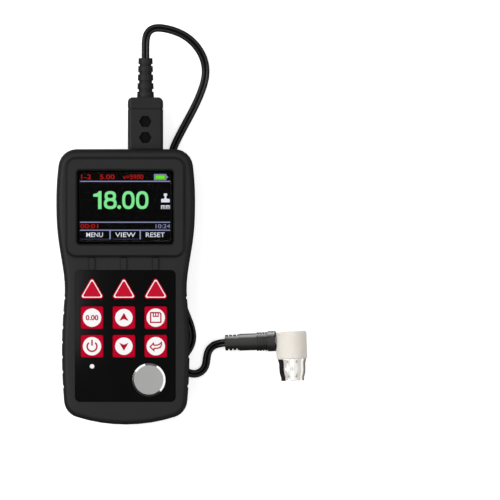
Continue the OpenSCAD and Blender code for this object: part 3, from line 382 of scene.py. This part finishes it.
# Rolled steel sheet: fine lines along the way it was rolled.
tray_steel = metal("rolled_tray_steel", "#b4b7ba", "#a2a5a8", 0.35, 0.8, (1, 0.05, 1))
print("metals:", nose_steel.name, zinc_plate.name, black_oxide.name, brass_plate.name, tray_steel.name)

# %% Ground disc
# The rings are drawn half a millimetre apart, as real grinding marks are too fine to show.
FACE_R, SEAM, RING = 7.85, 0.05, 0.5
GROUND, TURNED = 0.38, 0.12
DISC_EDGE, GRIND = 0.15, 0.003
RING_SCALE = 0.314  # the Wave node draws one ring over this length at a scale of one
disc_steel, tree, surface = finish("disc_ground_steel", {"Metallic": 1})
low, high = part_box("zero_disc")
place = add(tree, "ShaderNodeTexCoord")
centre = add(tree, "ShaderNodeMapping", {"Vector": (place, "Object"), "Scale": (1, 1, 0),
                                         "Location": (-(low.x + high.x) / 2, -(low.y + high.y) / 2, 0)})
away = add(tree, "ShaderNodeVectorMath", {0: (centre, "Vector")}, operation="LENGTH")
polish = add(tree, "ShaderNodeMapRange", {"Value": (away, "Value"), "From Min": (FACE_R - SEAM) * MM,
                                          "From Max": (FACE_R + SEAM) * MM, "To Min": GROUND,
                                          "To Max": TURNED})
tree.links.new(polish.outputs["Result"], surface.inputs["Roughness"])
rings = add(tree, "ShaderNodeTexWave", {"Vector": (centre, "Vector"), "Scale": RING_SCALE / (RING * MM),
                                        "Distortion": 1.5, "Detail": 2, "Detail Scale": 3},
            wave_type="RINGS", rings_direction="Z")
shade = add(tree, "ShaderNodeValToRGB", {"Fac": (rings, "Fac")})
shade.color_ramp.elements[0].color = linear("#b2b2b1")
shade.color_ramp.elements[1].color = linear("#bebebd")
round_edge = add(tree, "ShaderNodeBevel", {"Radius": DISC_EDGE * MM}, samples=4)
bump = add(tree, "ShaderNodeBump", {"Height": (rings, "Fac"), "Distance": GRIND * MM,
                                    "Normal": (round_edge, "Normal")})
tree.links.new(shade.outputs["Color"], surface.inputs["Base Color"])
tree.links.new(bump.outputs["Normal"], surface.inputs["Normal"])
print("disc middle in mm:", [round(v / MM, 1) for v in (low + high) / 2])

# %% [markdown]
# ## Clear and pressed materials
# The window is clear acrylic, and so are the two delay blocks in the probe's nose. Behind the window the
# display is black glass. The barrier between the delay blocks is cork, and the crystals are ceramic.

# %% Acrylic, glass, cork and ceramic
ACRYLIC_IOR = 1.49
# Clear acrylic sheet: no colour and sharp reflections.
window_acrylic = finish("window_acrylic", {
    "Base Color": linear("#ffffff"), "Roughness": 0.03, "IOR": ACRYLIC_IOR, "Transmission Weight": 1})[0]
# Sawn and lapped acrylic: a little cloudy.
delay_acrylic = finish("delay_acrylic", {
    "Base Color": linear("#e8efec"), "Roughness": 0.08, "IOR": ACRYLIC_IOR, "Transmission Weight": 0.6})[0]
# Display glass: nearly black and smooth.
display_glass = moulded("display_glass", "#121214", "#0e0e10", 0.15, grain=4, depth=0.001, edge=0.1)
# Cork: brown crumbs, matt and open.
barrier_cork = moulded("barrier_cork", "#8a6844", "#5f4428", 0.8, grain=0.4, depth=0.05)
# Fired ceramic: pale and matt.
crystal_ceramic = moulded("crystal_ceramic", "#d2cbb0", "#c2ba9c", 0.55, grain=0.4)
print("clear finishes:", window_acrylic.name, delay_acrylic.name)

# %% [markdown]
# ## Finishes on the solids
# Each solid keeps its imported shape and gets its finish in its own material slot. The plastic of the
# window, the steel of the disc and so on follow what a repairer would find on the bench.

# %% Give each solid its finish
KEYS = ["soft_key_left", "soft_key_middle", "soft_key_right", "cal_key", "up_key", "save_key",
        "power_key", "down_key", "enter_key"]
FINISHES = {
    case_abs: ["front_case", "rear_case", "battery_cover"],
    plug_abs: ["plug_shell_front", "plug_shell_rear", "plug_cap"],
    film_red: KEYS[:3], key_abs: KEYS[3:], panel_gloss: ["keypad_panel"],
    boot_pvc: ["plug_boot"], probe_pvc: ["probe_boot"], lead_pvc: ["probe_lead_left", "probe_lead_right"],
    cap_acetal: ["probe_cap"], nose_steel: ["probe_nose"], disc_steel: ["zero_disc"],
    lens_milky: ["status_lamp"], window_acrylic: ["display_window"],
    display_glass: ["lcd_glass"], tray_steel: ["lcd_frame"], board_mask: ["main_board"],
    mat_silicone: ["key_mat"], cell_wrap: ["battery_left", "battery_right"],
    brass_plate: ["battery_contacts", "socket_left", "socket_right", "plug_pin_left",
                  "plug_pin_right"],
    zinc_plate: ["case_screws", "board_screws", "probe_gland"],
    black_oxide: ["plug_screws", "plug_nuts"],
    delay_acrylic: ["delay_block_left", "delay_block_right"], barrier_cork: ["probe_barrier"],
    crystal_ceramic: ["probe_crystals"], backing_resin: ["probe_backing"],
}
for material, names in FINISHES.items():
    for name in names:
        parts[name].data.materials.clear()
        parts[name].data.materials.append(material)
for piece, material in ((cap, cap_acetal), (leads[0], lead_pvc), (leads[1], lead_pvc)):
    piece.data.materials.append(material)
bare = set(parts) - {name for names in FINISHES.values() for name in names}
print("solids without a finish:", sorted(bare))

# %% [markdown]
# ## Smooth shading
# The case is a loft through rings of points, so its solid has flat facets, and facets on the polished nose
# would break up what it mirrors. Moving points would change the solids, but their shading may be softened:
# a small geometry node group joins the facets and marks only the edges that really turn, by more than
# 32 degrees, as sharp.

# %% Soft shading
SHARP, JOIN = math.radians(32), 0.002 * MM
soften = bpy.data.node_groups.new("soft_shading", "GeometryNodeTree")
for way in ("INPUT", "OUTPUT"):
    soften.interface.new_socket("Geometry", in_out=way, socket_type="NodeSocketGeometry")
entry = add(soften, "NodeGroupInput")
joined = add(soften, "GeometryNodeMergeByDistance", {"Geometry": (entry, "Geometry"),
                                                     "Distance": JOIN})
angle = add(soften, "GeometryNodeInputMeshEdgeAngle")
turns = add(soften, "FunctionNodeCompare", {"A": (angle, "Unsigned Angle"),
                                            "B": SHARP}, operation="GREATER_THAN")
shaded = add(soften, "GeometryNodeSetMeshNormal", {"Mesh": (joined, "Geometry"),
                                                   "Edge Sharpness": (turns, "Result")})
add(soften, "NodeGroupOutput", {"Geometry": (shaded, "Mesh")})
for name in ("front_case", "rear_case", "battery_cover", "probe_nose"):
    parts[name].modifiers.new("soft_shading", "NODES").node_group = soften
print("softened:", len(soften.nodes), "nodes in the group")

# %% [markdown]
# ## Printed marks
# Marks on the keys are pad printed, a hundredth of a millimetre thick, so flat filled outlines a little
# above the key are enough. A line is drawn as the outline of a band with even width, because a tube
# would stand up from the key. Each mark rides on the body of its own key and goes down with it.

# %% Lines and arcs
BLUNT = 0.4  # keeps the corner of a sharp turn from running far out


def band(points, width, closed=False):
    """The closed outlines of a line of one width through points, in millimetres."""
    line = [Vector(p) for p in points]
    last = len(line) - 1
    left, right = [], []
    for i, p in enumerate(line):
        before = line[i - 1] if i or closed else 2 * p - line[1]
        after = line[(i + 1) % len(line)] if i < last or closed else 2 * p - line[i - 1]
        a, b = (p - before).normalized(), (after - p).normalized()
        a, b = Vector((-a.y, a.x)), Vector((-b.y, b.x))
        out = (a + b) / max(1 + a.dot(b), BLUNT) * width / 2
        left.append(tuple(p + out))
        right.append(tuple(p - out))
    return [left, right] if closed else [left + right[::-1]]


def arc(x, y, r, start, end, steps=24):
    """Points on a circle from one angle to another, in degrees."""
    angles = [math.radians(start + (end - start) * k / steps) for k in range(steps + 1)]
    return [(x + r * math.cos(a), y + r * math.sin(a)) for a in angles]


def circle(x, y, r, steps=48):
    """The closed outline of a disc."""
    return arc(x, y, r, 0, 360, steps)[:-1]


print("points on a disc:", len(circle(0, 0, 1)))

# %% Flat marks
def mark(name, shapes, z, material, body):
    """A flat piece of filled shapes at one height; a shape is an outline and its holes, in millimetres."""
    points, faces = [], []
    for loops in shapes:
        corners = [Vector((x, y, z)) for loop in loops for x, y in loop]
        for face in tessellate_polygon([[Vector((x, y, 0)) for x, y in loop] for loop in loops]):
            a, b, c = [corners[i] for i in face]
            order = face if (b - a).cross(c - a).z > 0 else face[::-1]
            faces.append([len(points) + i for i in order])
        points += corners
    mesh = bpy.data.meshes.new(name)
    mesh.from_pydata([p * MM for p in points], [], faces)
    mesh.materials.append(material)
    piece = bpy.data.objects.new(name, mesh)
    bpy.context.collection.objects.link(piece)
    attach(piece, body)
    return piece


disc_outline = [Vector((x, y, 0)) for x, y in circle(0, 0, 1)]
print("triangles in a disc:", len(tessellate_polygon([disc_outline])))

# %% Figures and inks
def letters(name, text, low, high, z, material, body, weight=0.0):
    """Figures fitted into a box from low to high, in millimetres."""
    curve = bpy.data.curves.new(name, "FONT")
    curve.body = text
    curve.offset = weight
    curve.resolution_u = 6
    drawn = bpy.data.objects.new(name + "_line", curve)
    bpy.context.collection.objects.link(drawn)
    mesh = bpy.data.meshes.new_from_object(drawn)
    bpy.data.objects.remove(drawn)
    xs, ys = [v.co.x for v in mesh.vertices], [v.co.y for v in mesh.vertices]
    wide, tall = (high[0] - low[0]) / (max(xs) - min(xs)), (high[1] - low[1]) / (max(ys) - min(ys))
    for v in mesh.vertices:
        v.co = Vector((low[0] + (v.co.x - min(xs)) * wide, low[1] + (v.co.y - min(ys)) * tall, z)) * MM
    mesh.materials.clear()
    mesh.materials.append(material)
    mesh.name = name
    piece = bpy.data.objects.new(name, mesh)
    bpy.context.collection.objects.link(piece)
    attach(piece, body)
    return piece


# Pad ink: a thin even coat, matt where it dried and only just above the key.
white_ink = moulded("white_pad_ink", "#fbfbfb", "#f5f5f5", 0.5, depth=0.002, edge=0.05)
red_ink = moulded("red_pad_ink", "#b8042c", "#b00228", 0.5, depth=0.002, edge=0.05,
                  shader={"Specular IOR Level": 0.05})
INK = 0.03
print("ink height in mm:", INK)

# %% [markdown]
# ## Triangular keys
# Each soft key has a white line that follows its edge. The line keeps an even distance from the
# edge, so its corners are round like the key's own: an outline with its arcs moved inwards.

# %% White lines on the triangular keys
KEY_HALF, KEY_TALL, KEY_Y = 6.9, 12.0, -0.3
LINE_OUT, LINE_IN = (0.5, 0.85), (0.97, 0.75)  # distance from the edge and corner radius
BENDS = 8  # steps in a round corner
key_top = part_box("soft_key_middle")[1].z / MM
tip = math.degrees(math.atan2(KEY_TALL, KEY_HALF))


def triangle(x, y, inset, corner):
    """A triangle inside the edge of a soft key, by an inset, with round corners, in millimetres."""
    slant = math.hypot(KEY_TALL, KEY_HALF)
    pull = inset + corner
    side = KEY_HALF - pull * (slant + KEY_HALF) / KEY_TALL
    foot, peak = y - KEY_TALL / 2 + pull, y + KEY_TALL / 2 - pull * slant / KEY_HALF
    loop = arc(x - side, foot, corner, 90 + tip, 270, BENDS)
    loop += arc(x + side, foot, corner, 270, 450 - tip, BENDS)
    return loop + arc(x, peak, corner, 90 - tip, 90 + tip, BENDS)


for name in KEYS[:3]:
    low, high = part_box(name)
    x = (low.x + high.x) / 2 / MM
    mark(name + "_line", [[triangle(x, KEY_Y, *LINE_OUT), triangle(x, KEY_Y, *LINE_IN)]], key_top + INK,
         white_ink, name + "_body")
print("key tops at mm:", round(key_top, 2))

# %% [markdown]
# ## Square keys
# Each square key carries a white disc with a red sign: a zero reading, arrows, a storage card, the
# standby sign and a return arrow. They are common signs of such keys, drawn from a few points each.

# %% White discs and red signs
DISCS = {"cal_key": 4.95, "up_key": 4.7, "save_key": 4.95, "power_key": 4.95, "down_key": 4.7,
         "enter_key": 4.95}
CARD = [(-2.75, 2.7), (2.1, 2.7), (2.75, 2.05), (2.75, -2.55), (-2.75, -2.55)]
RETURN = [(-3.0, -0.35), (-1.3, 1.6), (-0.95, 0.5), (1.0, 0.6), (2.3, 1.2), (3.1, 2.2),
          (3.15, 0.8), (2.5, -0.55), (1.1, -1.15), (-0.8, -1.15), (-1.05, -2.3)]
CARD_LINE, SHUTTER_LINE, POWER_LINE, RETURN_LINE = 0.72, 0.6, 0.85, 0.7
SIGNS = {
    "up_key": [[[(0, 2.6), (-2.5, -1.75), (0, -0.7), (2.5, -1.75)]]],
    "down_key": [[[(0, -2.5), (-2.5, 1.85), (0, 0.8), (2.5, 1.85)]]],
    "save_key": [band(CARD, CARD_LINE, True),
                 band([(-1.3, 2.4), (-1.3, 0.7), (1.3, 0.7), (1.3, 2.4)], SHUTTER_LINE),
                 band([(0, 2.4), (0, 1.0)], SHUTTER_LINE)],
    "power_key": [band(arc(0, -0.15, 2.62, 130, 410, 40), POWER_LINE),
                  band([(0, 3.45), (0, 0.35)], POWER_LINE)],
    "enter_key": [band(RETURN, RETURN_LINE, True)],
}
print("drawn signs:", sorted(SIGNS))

# %% Put the discs and signs on the keys
ZERO_X, ZERO_Y, ZERO_WEIGHT = 3.4, 1.45, 0.03
for name, radius in DISCS.items():
    low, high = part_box(name)
    x, y = (low.x + high.x) / 2 / MM, (low.y + high.y) / 2 / MM
    mark(name + "_disc", [[circle(x, y, radius)]], key_top + INK, white_ink, name + "_body")
    if name in SIGNS:
        signs = [[[(x + px, y + py) for px, py in loop] for loop in shape] for shape in SIGNS[name]]
        mark(name + "_sign", signs, key_top + 2 * INK, red_ink, name + "_body")
    else:
        letters(name + "_sign", "0.00", (x - ZERO_X, y - ZERO_Y), (x + ZERO_X, y + ZERO_Y),
                key_top + 2 * INK, red_ink, name + "_body", ZERO_WEIGHT)
print("square keys marked:", len(DISCS))

# %% [markdown]
# ## Lit display
# The display is a colour panel behind the window: black where no pixel is lit, and self-lit where there
# are figures. The lit shapes are thin pieces that emit their own colour, just above the display glass.
# The reading and the small rows are plain numbers, and the words over the keys are common ones.

# %% Display colours
DIMMEST, PATCH = 0.94, 2.0  # lowest share of a colour, and the size of its patches in millimetres


def lit(name, code):
    """A lit colour of the display, which shows the same in any light."""
    material, tree, surface = finish(name, {"Base Color": linear("#050505"), "Roughness": 0.3,
                                            "Specular IOR Level": 0, "Emission Strength": 1})
    place = add(tree, "ShaderNodeTexCoord")
    rows = add(tree, "ShaderNodeTexNoise", {"Vector": (place, "Object"), "Scale": 1 / (PATCH * MM)})
    shade = add(tree, "ShaderNodeValToRGB", {"Fac": (rows, "Fac")})
    shade.color_ramp.elements[0].color = [c * DIMMEST for c in linear(code)[:3]] + [1]
    shade.color_ramp.elements[1].color = linear(code)
    tree.links.new(shade.outputs["Color"], surface.inputs["Emission Color"])
    return material


lit_green = lit("lit_green", "#84f098")
lit_red = lit("lit_red", "#c41c18")
lit_white = lit("lit_white", "#e8eaf8")
lit_lavender = lit("lit_lavender", "#8f94ba")
lit_dim = lit("lit_dim", "#3c3e52")
lit_charge = lit("lit_charge", "#6cee2c")
lit_black = lit("lit_black", "#030303")
screen_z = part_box("lcd_glass")[1].z / MM
print("display glass at mm:", round(screen_z, 2))

# %% Lines and signs on the display
def box(x0, y0, x1, y1):
    """The outline of an upright rectangle."""
    return [(x0, y0), (x1, y0), (x1, y1), (x0, y1)]


# Places on the display are in millimetres from the middle of the gauge.
DARK, LIT = screen_z + INK, screen_z + 2 * INK
LEFT, RIGHT, LINE, BAR = -24.6, 24.2, 0.55, 0.7
mark("screen_black", [[box(-24.7, 25.6, 24.5, 62.1)]], DARK, lit_black, "meter")
across_lines = [[box(LEFT, y, RIGHT, y + LINE)] for y in (56.75, 34.65, 30.35)]
upright_bars = [[box(x, 25.7, x + BAR, 30.4)] for x in (-8.7, 7.6)]
mark("screen_lines", across_lines + upright_bars, LIT, lit_lavender, "meter")
mark("screen_dim_lines", [[box(LEFT, 25.65, -9.2, 26.0)], [box(-6.9, 25.65, 7.1, 26.0)]], LIT, lit_dim,
     "meter")
mark("screen_battery_case", [[box(15.4, 57.6, 22.0, 61.0), box(15.9, 58.1, 21.5, 60.5)],
                             [[(22.1, 58.2), (23.1, 59.3), (22.1, 60.4)]]], LIT, lit_lavender,
     "meter")
mark("screen_battery_level", [[box(16.1, 58.3, 21.3, 60.3)]], LIT, lit_charge, "meter")
mark("screen_probe_sign", [[[(19.3, 45.7), (23.9, 45.7), (23.9, 47.5), (22.4, 47.6), (22.1, 48.2),
                             (22.1, 49.0), (22.6, 49.4), (22.4, 50.5), (20.8, 50.5), (20.6, 49.4),
                             (21.1, 49.0), (21.1, 48.2), (20.8, 47.6), (19.3, 47.5)]]], LIT, lit_white,
     "meter")
EM = [(0, 0), (0.44, 0), (0.44, 1.5), (0.95, 1.5), (0.95, 0), (1.39, 0), (1.39, 1.5), (1.9, 1.5),
      (1.9, 0), (2.2, 0), (2.2, 1.8), (1.9, 2.0), (0, 2.0)]
mark("screen_unit", [[[(x + left, y + 42.1) for x, y in EM]] for left in (19.2, 21.8)], LIT, lit_white,
     "meter")
print("lines and signs at mm:", round(LIT, 2))

# %% [markdown]
# ## Figures of the reading
# The large figures have strokes of one width and flat sides, unlike the figures of Blender's own font.
# A nought is one oval inside another. An oval with a power of 2.5 in place of the circle's 2 has flatter
# sides. An eight is as wide at each height as the wider of its two bowls.

# %% Large figures
STROKE, FOOT, HEAD = 1.6, 42.05, 51.75
POWER, ROUND = 2.5, 40
WAIST, TAPER, POINT = 0.53, 0.35, 1.05  # share of the height, and millimetres


def oval(x, y, rx, ry):
    """A closed oval with flat sides."""
    loop = []
    for k in range(ROUND):
        c, s = math.cos(2 * math.pi * k / ROUND), math.sin(2 * math.pi * k / ROUND)
        loop.append((x + rx * math.copysign(abs(c) ** (2 / POWER), c),
                     y + ry * math.copysign(abs(s) ** (2 / POWER), s)))
    return loop


def nought(x, wide):
    """A ring as tall as the reading."""
    middle, tall = (FOOT + HEAD) / 2, HEAD - FOOT
    return [oval(x, middle, wide / 2, tall / 2), oval(x, middle, wide / 2 - STROKE, tall / 2 - STROKE)]


def eight(x, wide):
    """Two bowls that share the stroke between them; the upper one is a little smaller."""
    waist = FOOT + WAIST * (HEAD - FOOT)
    lower, upper = (FOOT, waist + STROKE / 2, wide / 2), (waist - STROKE / 2, HEAD, wide / 2 - TAPER)
    bowls = [((low + high) / 2, (high - low) / 2, rx) for low, high, rx in (lower, upper)]
    right = []
    for k in range(ROUND + 1):
        y = (FOOT + HEAD) / 2 - (HEAD - FOOT) / 2 * math.cos(math.pi * k / ROUND)
        shares = [(rx, max(1 - abs((y - at) / ry) ** POWER, 0)) for at, ry, rx in bowls]
        right.append((max(rx * share ** (1 / POWER) for rx, share in shares), y))
    outline = [(x + half, y) for half, y in right] + [(x - half, y) for half, y in right[-2:0:-1]]
    return [outline] + [oval(x, at, rx - STROKE, ry - STROKE) for at, ry, rx in bowls]


print("points on an oval:", len(oval(0, 0, 1, 1)))

# %% The reading
ONE = [(-12.95, FOOT), (-12.95, HEAD), (-14.4, HEAD), (-15.2, 50.7), (-17.4, 50.1), (-17.4, 48.7),
       (-14.8, 48.7), (-14.8, FOOT)]
mark("screen_reading", [[ONE], eight(-8.2, 6.9), [circle(-3.4, FOOT + POINT, POINT, 24)],
                        nought(1.55, 6.7), nought(9.05, 6.7)], LIT, lit_green, "meter")
print("height of the reading in mm:", round(HEAD - FOOT, 1))

# %% [markdown]
# ## Small rows
# The small rows are a few pixels tall on the real display, so Blender's own font does for them. Each row
# is stretched into the box that it fills, and a little weight makes its strokes as bold as lit pixels.

# %% Small rows
# A row has its name, its text, its lower left and upper right corner, its colour and its weight.
ROWS = [
    ("screen_range", "1-2", (-23.9, 58.2), (-18.6, 60.7), lit_red, 0.0),
    ("screen_gain", "5.00", (-13.8, 58.2), (-5.9, 60.7), lit_red, 0.0),
    ("screen_speed", "v=5900", (-1.4, 58.2), (9.6, 60.7), lit_red, 0.0),
    ("screen_count", "00:01", (-24.3, 31.7), (-14.8, 34.0), lit_red, 0.0),
    ("screen_clock", "10:24", (16.3, 31.7), (24.1, 33.9), lit_lavender, 0.0),
    ("screen_word_left", "MENU", (-21.2, 26.9), (-12.2, 29.4), lit_white, 0.005),
    ("screen_word_middle", "VIEW", (-5.6, 26.9), (5.4, 29.4), lit_white, 0.005),
    ("screen_word_right", "RESET", (11.0, 26.9), (21.2, 29.4), lit_white, 0.005),
]
for name, text, low, high, material, weight in ROWS:
    letters(name, text, low, high, LIT, material, "meter", weight)
print("rows:", len(ROWS))

# %% [markdown]
# ## Window border
# A black border is printed on the back of the window and hides the edge of the display. It is a flat
# frame just under the window plate.

# %% Window border
LIP, OPENING = 1.05, (-24.65, 25.5, 24.4, 61.5)
low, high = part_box("display_window")
# Screen ink seen through the plate: an even, satin black.
border_ink = moulded("border_ink", "#191919", "#151515", 0.4, depth=0.002, edge=0.05,
                     shader={"Specular IOR Level": 0.1})
x0, y0, x1, y1 = low.x / MM, low.y / MM, high.x / MM, high.y / MM
mark("window_border", [[box(x0 + LIP, y0 + LIP, x1 - LIP, y1 - LIP), box(*OPENING)]], low.z / MM - INK,
     border_ink, "meter")
print("window in mm:", [round(v, 1) for v in (x0, y0, x1, y1)])

# %% [markdown]
# ## Table and light
# The gauge lies on a white table under a bright ring of ceiling with a dark hole in its middle, where
# the camera looks through. Flat glossy faces mirror what is right above them, so the hole keeps the window
# and the panel black, while ground steel scatters enough to catch the ring. Light from high up leaves
# slopes darker than flat faces, which draws the bezel. A soft box on the left and a weak one on the right
# give the rims their highlights. Polished steel only shows what stands round it, so mirrors see the table
# dark left of the probe, and small cards stand by the probe's nose, behind its boot, by the disc's
# chamfer and over the panel's left edge. As on a photographer's set, a card is there for one piece: only
# that piece mirrors it, by light linking, and nothing else is lit by it. A sun under the table, which the
# table lets through, shows the back when the gauge is looked at from below.

# %% White table
TABLE, BELOW = 4.0, 0.05 * MM
table_mesh = bpy.data.meshes.new("table")
table_mesh.from_pydata([(x, y, -BELOW) for x, y in box(-TABLE, -TABLE, TABLE, TABLE)], [], [(0, 1, 2, 3)])
table = bpy.data.objects.new("table", table_mesh)
bpy.context.collection.objects.link(table)
table.visible_shadow = False
table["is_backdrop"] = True
print("table in m:", 2 * TABLE)

# %% Finish of the table
# Painted board: white to the camera, and for mirrors dark on the left and pale on the right.
GLOW = 0.6  # added for the camera, so that the table comes out white without more light on the gauge
DARK_X, PALE_X = 100 * MM, 125 * MM
DARK_TONE, PALE_TONE = 0.03, 0.8
paper = bpy.data.materials.new("white_table")
paper.use_nodes = True
tree = paper.node_tree
tree.nodes.clear()
matt = add(tree, "ShaderNodeBsdfDiffuse", {"Color": linear("#f4f4f4")})
ray = add(tree, "ShaderNodeLightPath")
seen = add(tree, "ShaderNodeMath", {0: (ray, "Is Camera Ray"), 1: (ray, "Is Transmission Ray")},
           operation="MAXIMUM")
glow = add(tree, "ShaderNodeMath", {0: (seen, "Value"), 1: GLOW}, operation="MULTIPLY")
white = add(tree, "ShaderNodeEmission", {"Strength": (glow, "Value")})
bright = add(tree, "ShaderNodeAddShader", {0: (matt, "BSDF"), 1: (white, "Emission")})
under = add(tree, "ShaderNodeNewGeometry")
spot = add(tree, "ShaderNodeSeparateXYZ", {"Vector": (under, "Position")})
tone = add(tree, "ShaderNodeMapRange", {"Value": (spot, "X"), "From Min": DARK_X, "From Max": PALE_X,
                                        "To Min": DARK_TONE, "To Max": PALE_TONE})
mirrored = add(tree, "ShaderNodeEmission", {"Color": linear("#fffaf4"), "Strength": (tone, "Result")})
both = add(tree, "ShaderNodeMixShader", {0: (ray, "Is Glossy Ray"), 1: (bright, "Shader"),
                                         2: (mirrored, "Emission")})
clear = add(tree, "ShaderNodeBsdfTransparent")
sheet = add(tree, "ShaderNodeMixShader", {0: (under, "Backfacing"), 1: (both, "Shader"),
                                          2: (clear, "BSDF")})
add(tree, "ShaderNodeOutputMaterial", {"Surface": (sheet, "Shader")})
table.data.materials.append(paper)
print("nodes of the table's finish:", len(tree.nodes))

# %% Lamps
# Each lamp has its place, the point it faces and its size in millimetres, how bright its face is, and the
# one piece that mirrors it where it is a card.
LAMPS = {
    "left_box": ((-750, 150, 800), (30, 20, 0), (700, 900), 3.0, None),
    "right_box": ((950, 250, 800), (30, 20, 0), (500, 700), 0.25, None),
    "nose_upper_card": ((90.5, -55, 60), (90.5, -55, 0), (24, 50), 1.1, "probe_nose"),
    "nose_left_card": ((52, -50, 37), (90, -50, 37), (140, 35), 0.85, "probe_nose"),
    "nose_right_card": ((140, -50, 30), (90, -50, 30), (140, 60), 0.85, "probe_nose"),
    "disc_right_card": ((32, -43.5, 39.5), (12, -43.5, 39.5), (53, 13), 2.0, "zero_disc"),
    "disc_left_card": ((-1.4, -31.5, 38), (12.7, -50.2, 38), (19, 11), 2.0, "zero_disc"),
    "panel_card": ((-75, 10, 250), (-75, 10, 0), (88, 100), 0.6, "keypad_panel"),
    "boot_card": ((70, -13, 8), (70, -31, 8), (40, 14), 9.0, "probe_boot"),
}
for name, (at, aim, size, bright, part) in LAMPS.items():
    lamp = bpy.data.objects.new(name, bpy.data.lights.new(name, "AREA"))
    bpy.context.collection.objects.link(lamp)
    lamp.data.shape = "RECTANGLE"
    lamp.data.size, lamp.data.size_y = size[0] * MM, size[1] * MM
    lamp.data.energy = bright * math.pi * lamp.data.size * lamp.data.size_y
    lamp.location = Vector(at) * MM
    lamp.rotation_mode = "QUATERNION"
    lamp.rotation_quaternion = (Vector(aim) - Vector(at)).to_track_quat("-Z", "Y")
    lamp.visible_camera = False
    lamp.visible_diffuse = part is None
    if part:
        mirrors = bpy.data.collections.new(name + "_mirrors")
        mirrors.objects.link(parts[part])
        lamp.light_linking.receiver_collection = mirrors
print("lamps:", len(LAMPS), "cards:", sum(part is not None for *_, part in LAMPS.values()))

# %% Light from below
BACK_LEVEL, BACK_SPREAD, BACK_WAY = 1.8, math.radians(30), Vector((0.5, -0.4, 1))
back_light = bpy.data.objects.new("back_light", bpy.data.lights.new("back_light", "SUN"))
bpy.context.collection.objects.link(back_light)
back_light.data.energy = BACK_LEVEL
back_light.data.angle = BACK_SPREAD
back_light.rotation_mode = "QUATERNION"
back_light.rotation_quaternion = BACK_WAY.to_track_quat("-Z", "Y")
print("light from below:", back_light.data.energy)

# %% Room
# Heights in the room are the upward share of a direction: 0 at eye level and 1 straight up.
WALL_DIM, WALL_PALE, CEILING, HOLE = 0.06, 0.25, 1.28, 0.02
WALL_FRONT, WALL_BACK = -0.5, 0.7
RING_FOOT, RING_FULL, HOLE_RIM, HOLE_FULL = 0.62, 0.74, 0.95, 0.985
world = bpy.data.worlds.new("room")
bpy.context.scene.world = world
world.use_nodes = True
tree = world.node_tree
tree.nodes.clear()
place = add(tree, "ShaderNodeTexCoord")
way = add(tree, "ShaderNodeSeparateXYZ", {"Vector": (place, "Generated")})
walls = add(tree, "ShaderNodeMapRange", {"Value": (way, "Y"), "From Min": WALL_FRONT, "From Max": WALL_BACK,
                                         "To Min": WALL_DIM, "To Max": WALL_PALE})
ring = add(tree, "ShaderNodeMapRange", {"Value": (way, "Z"), "From Min": RING_FOOT, "From Max": RING_FULL,
                                        "To Min": (walls, "Result"), "To Max": CEILING})
hole = add(tree, "ShaderNodeMapRange", {"Value": (way, "Z"), "From Min": HOLE_RIM, "From Max": HOLE_FULL,
                                        "To Min": 1, "To Max": HOLE})
level = add(tree, "ShaderNodeMath", {0: (ring, "Result"), 1: (hole, "Result")}, operation="MULTIPLY")
air = add(tree, "ShaderNodeBackground", {"Color": linear("#ffffff"), "Strength": (level, "Value")})
add(tree, "ShaderNodeOutputWorld", {"Surface": (air, "Background")})
bpy.context.scene.view_settings.view_transform = "Standard"
print("brightness of the ceiling:", CEILING)

# %% [markdown]
# ## Size
# The box of the dressed gauge is printed in millimetres.

# %% The box of the dressed gauge
low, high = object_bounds()
print("box in mm:", [round(v / MM, 1) for v in high - low])
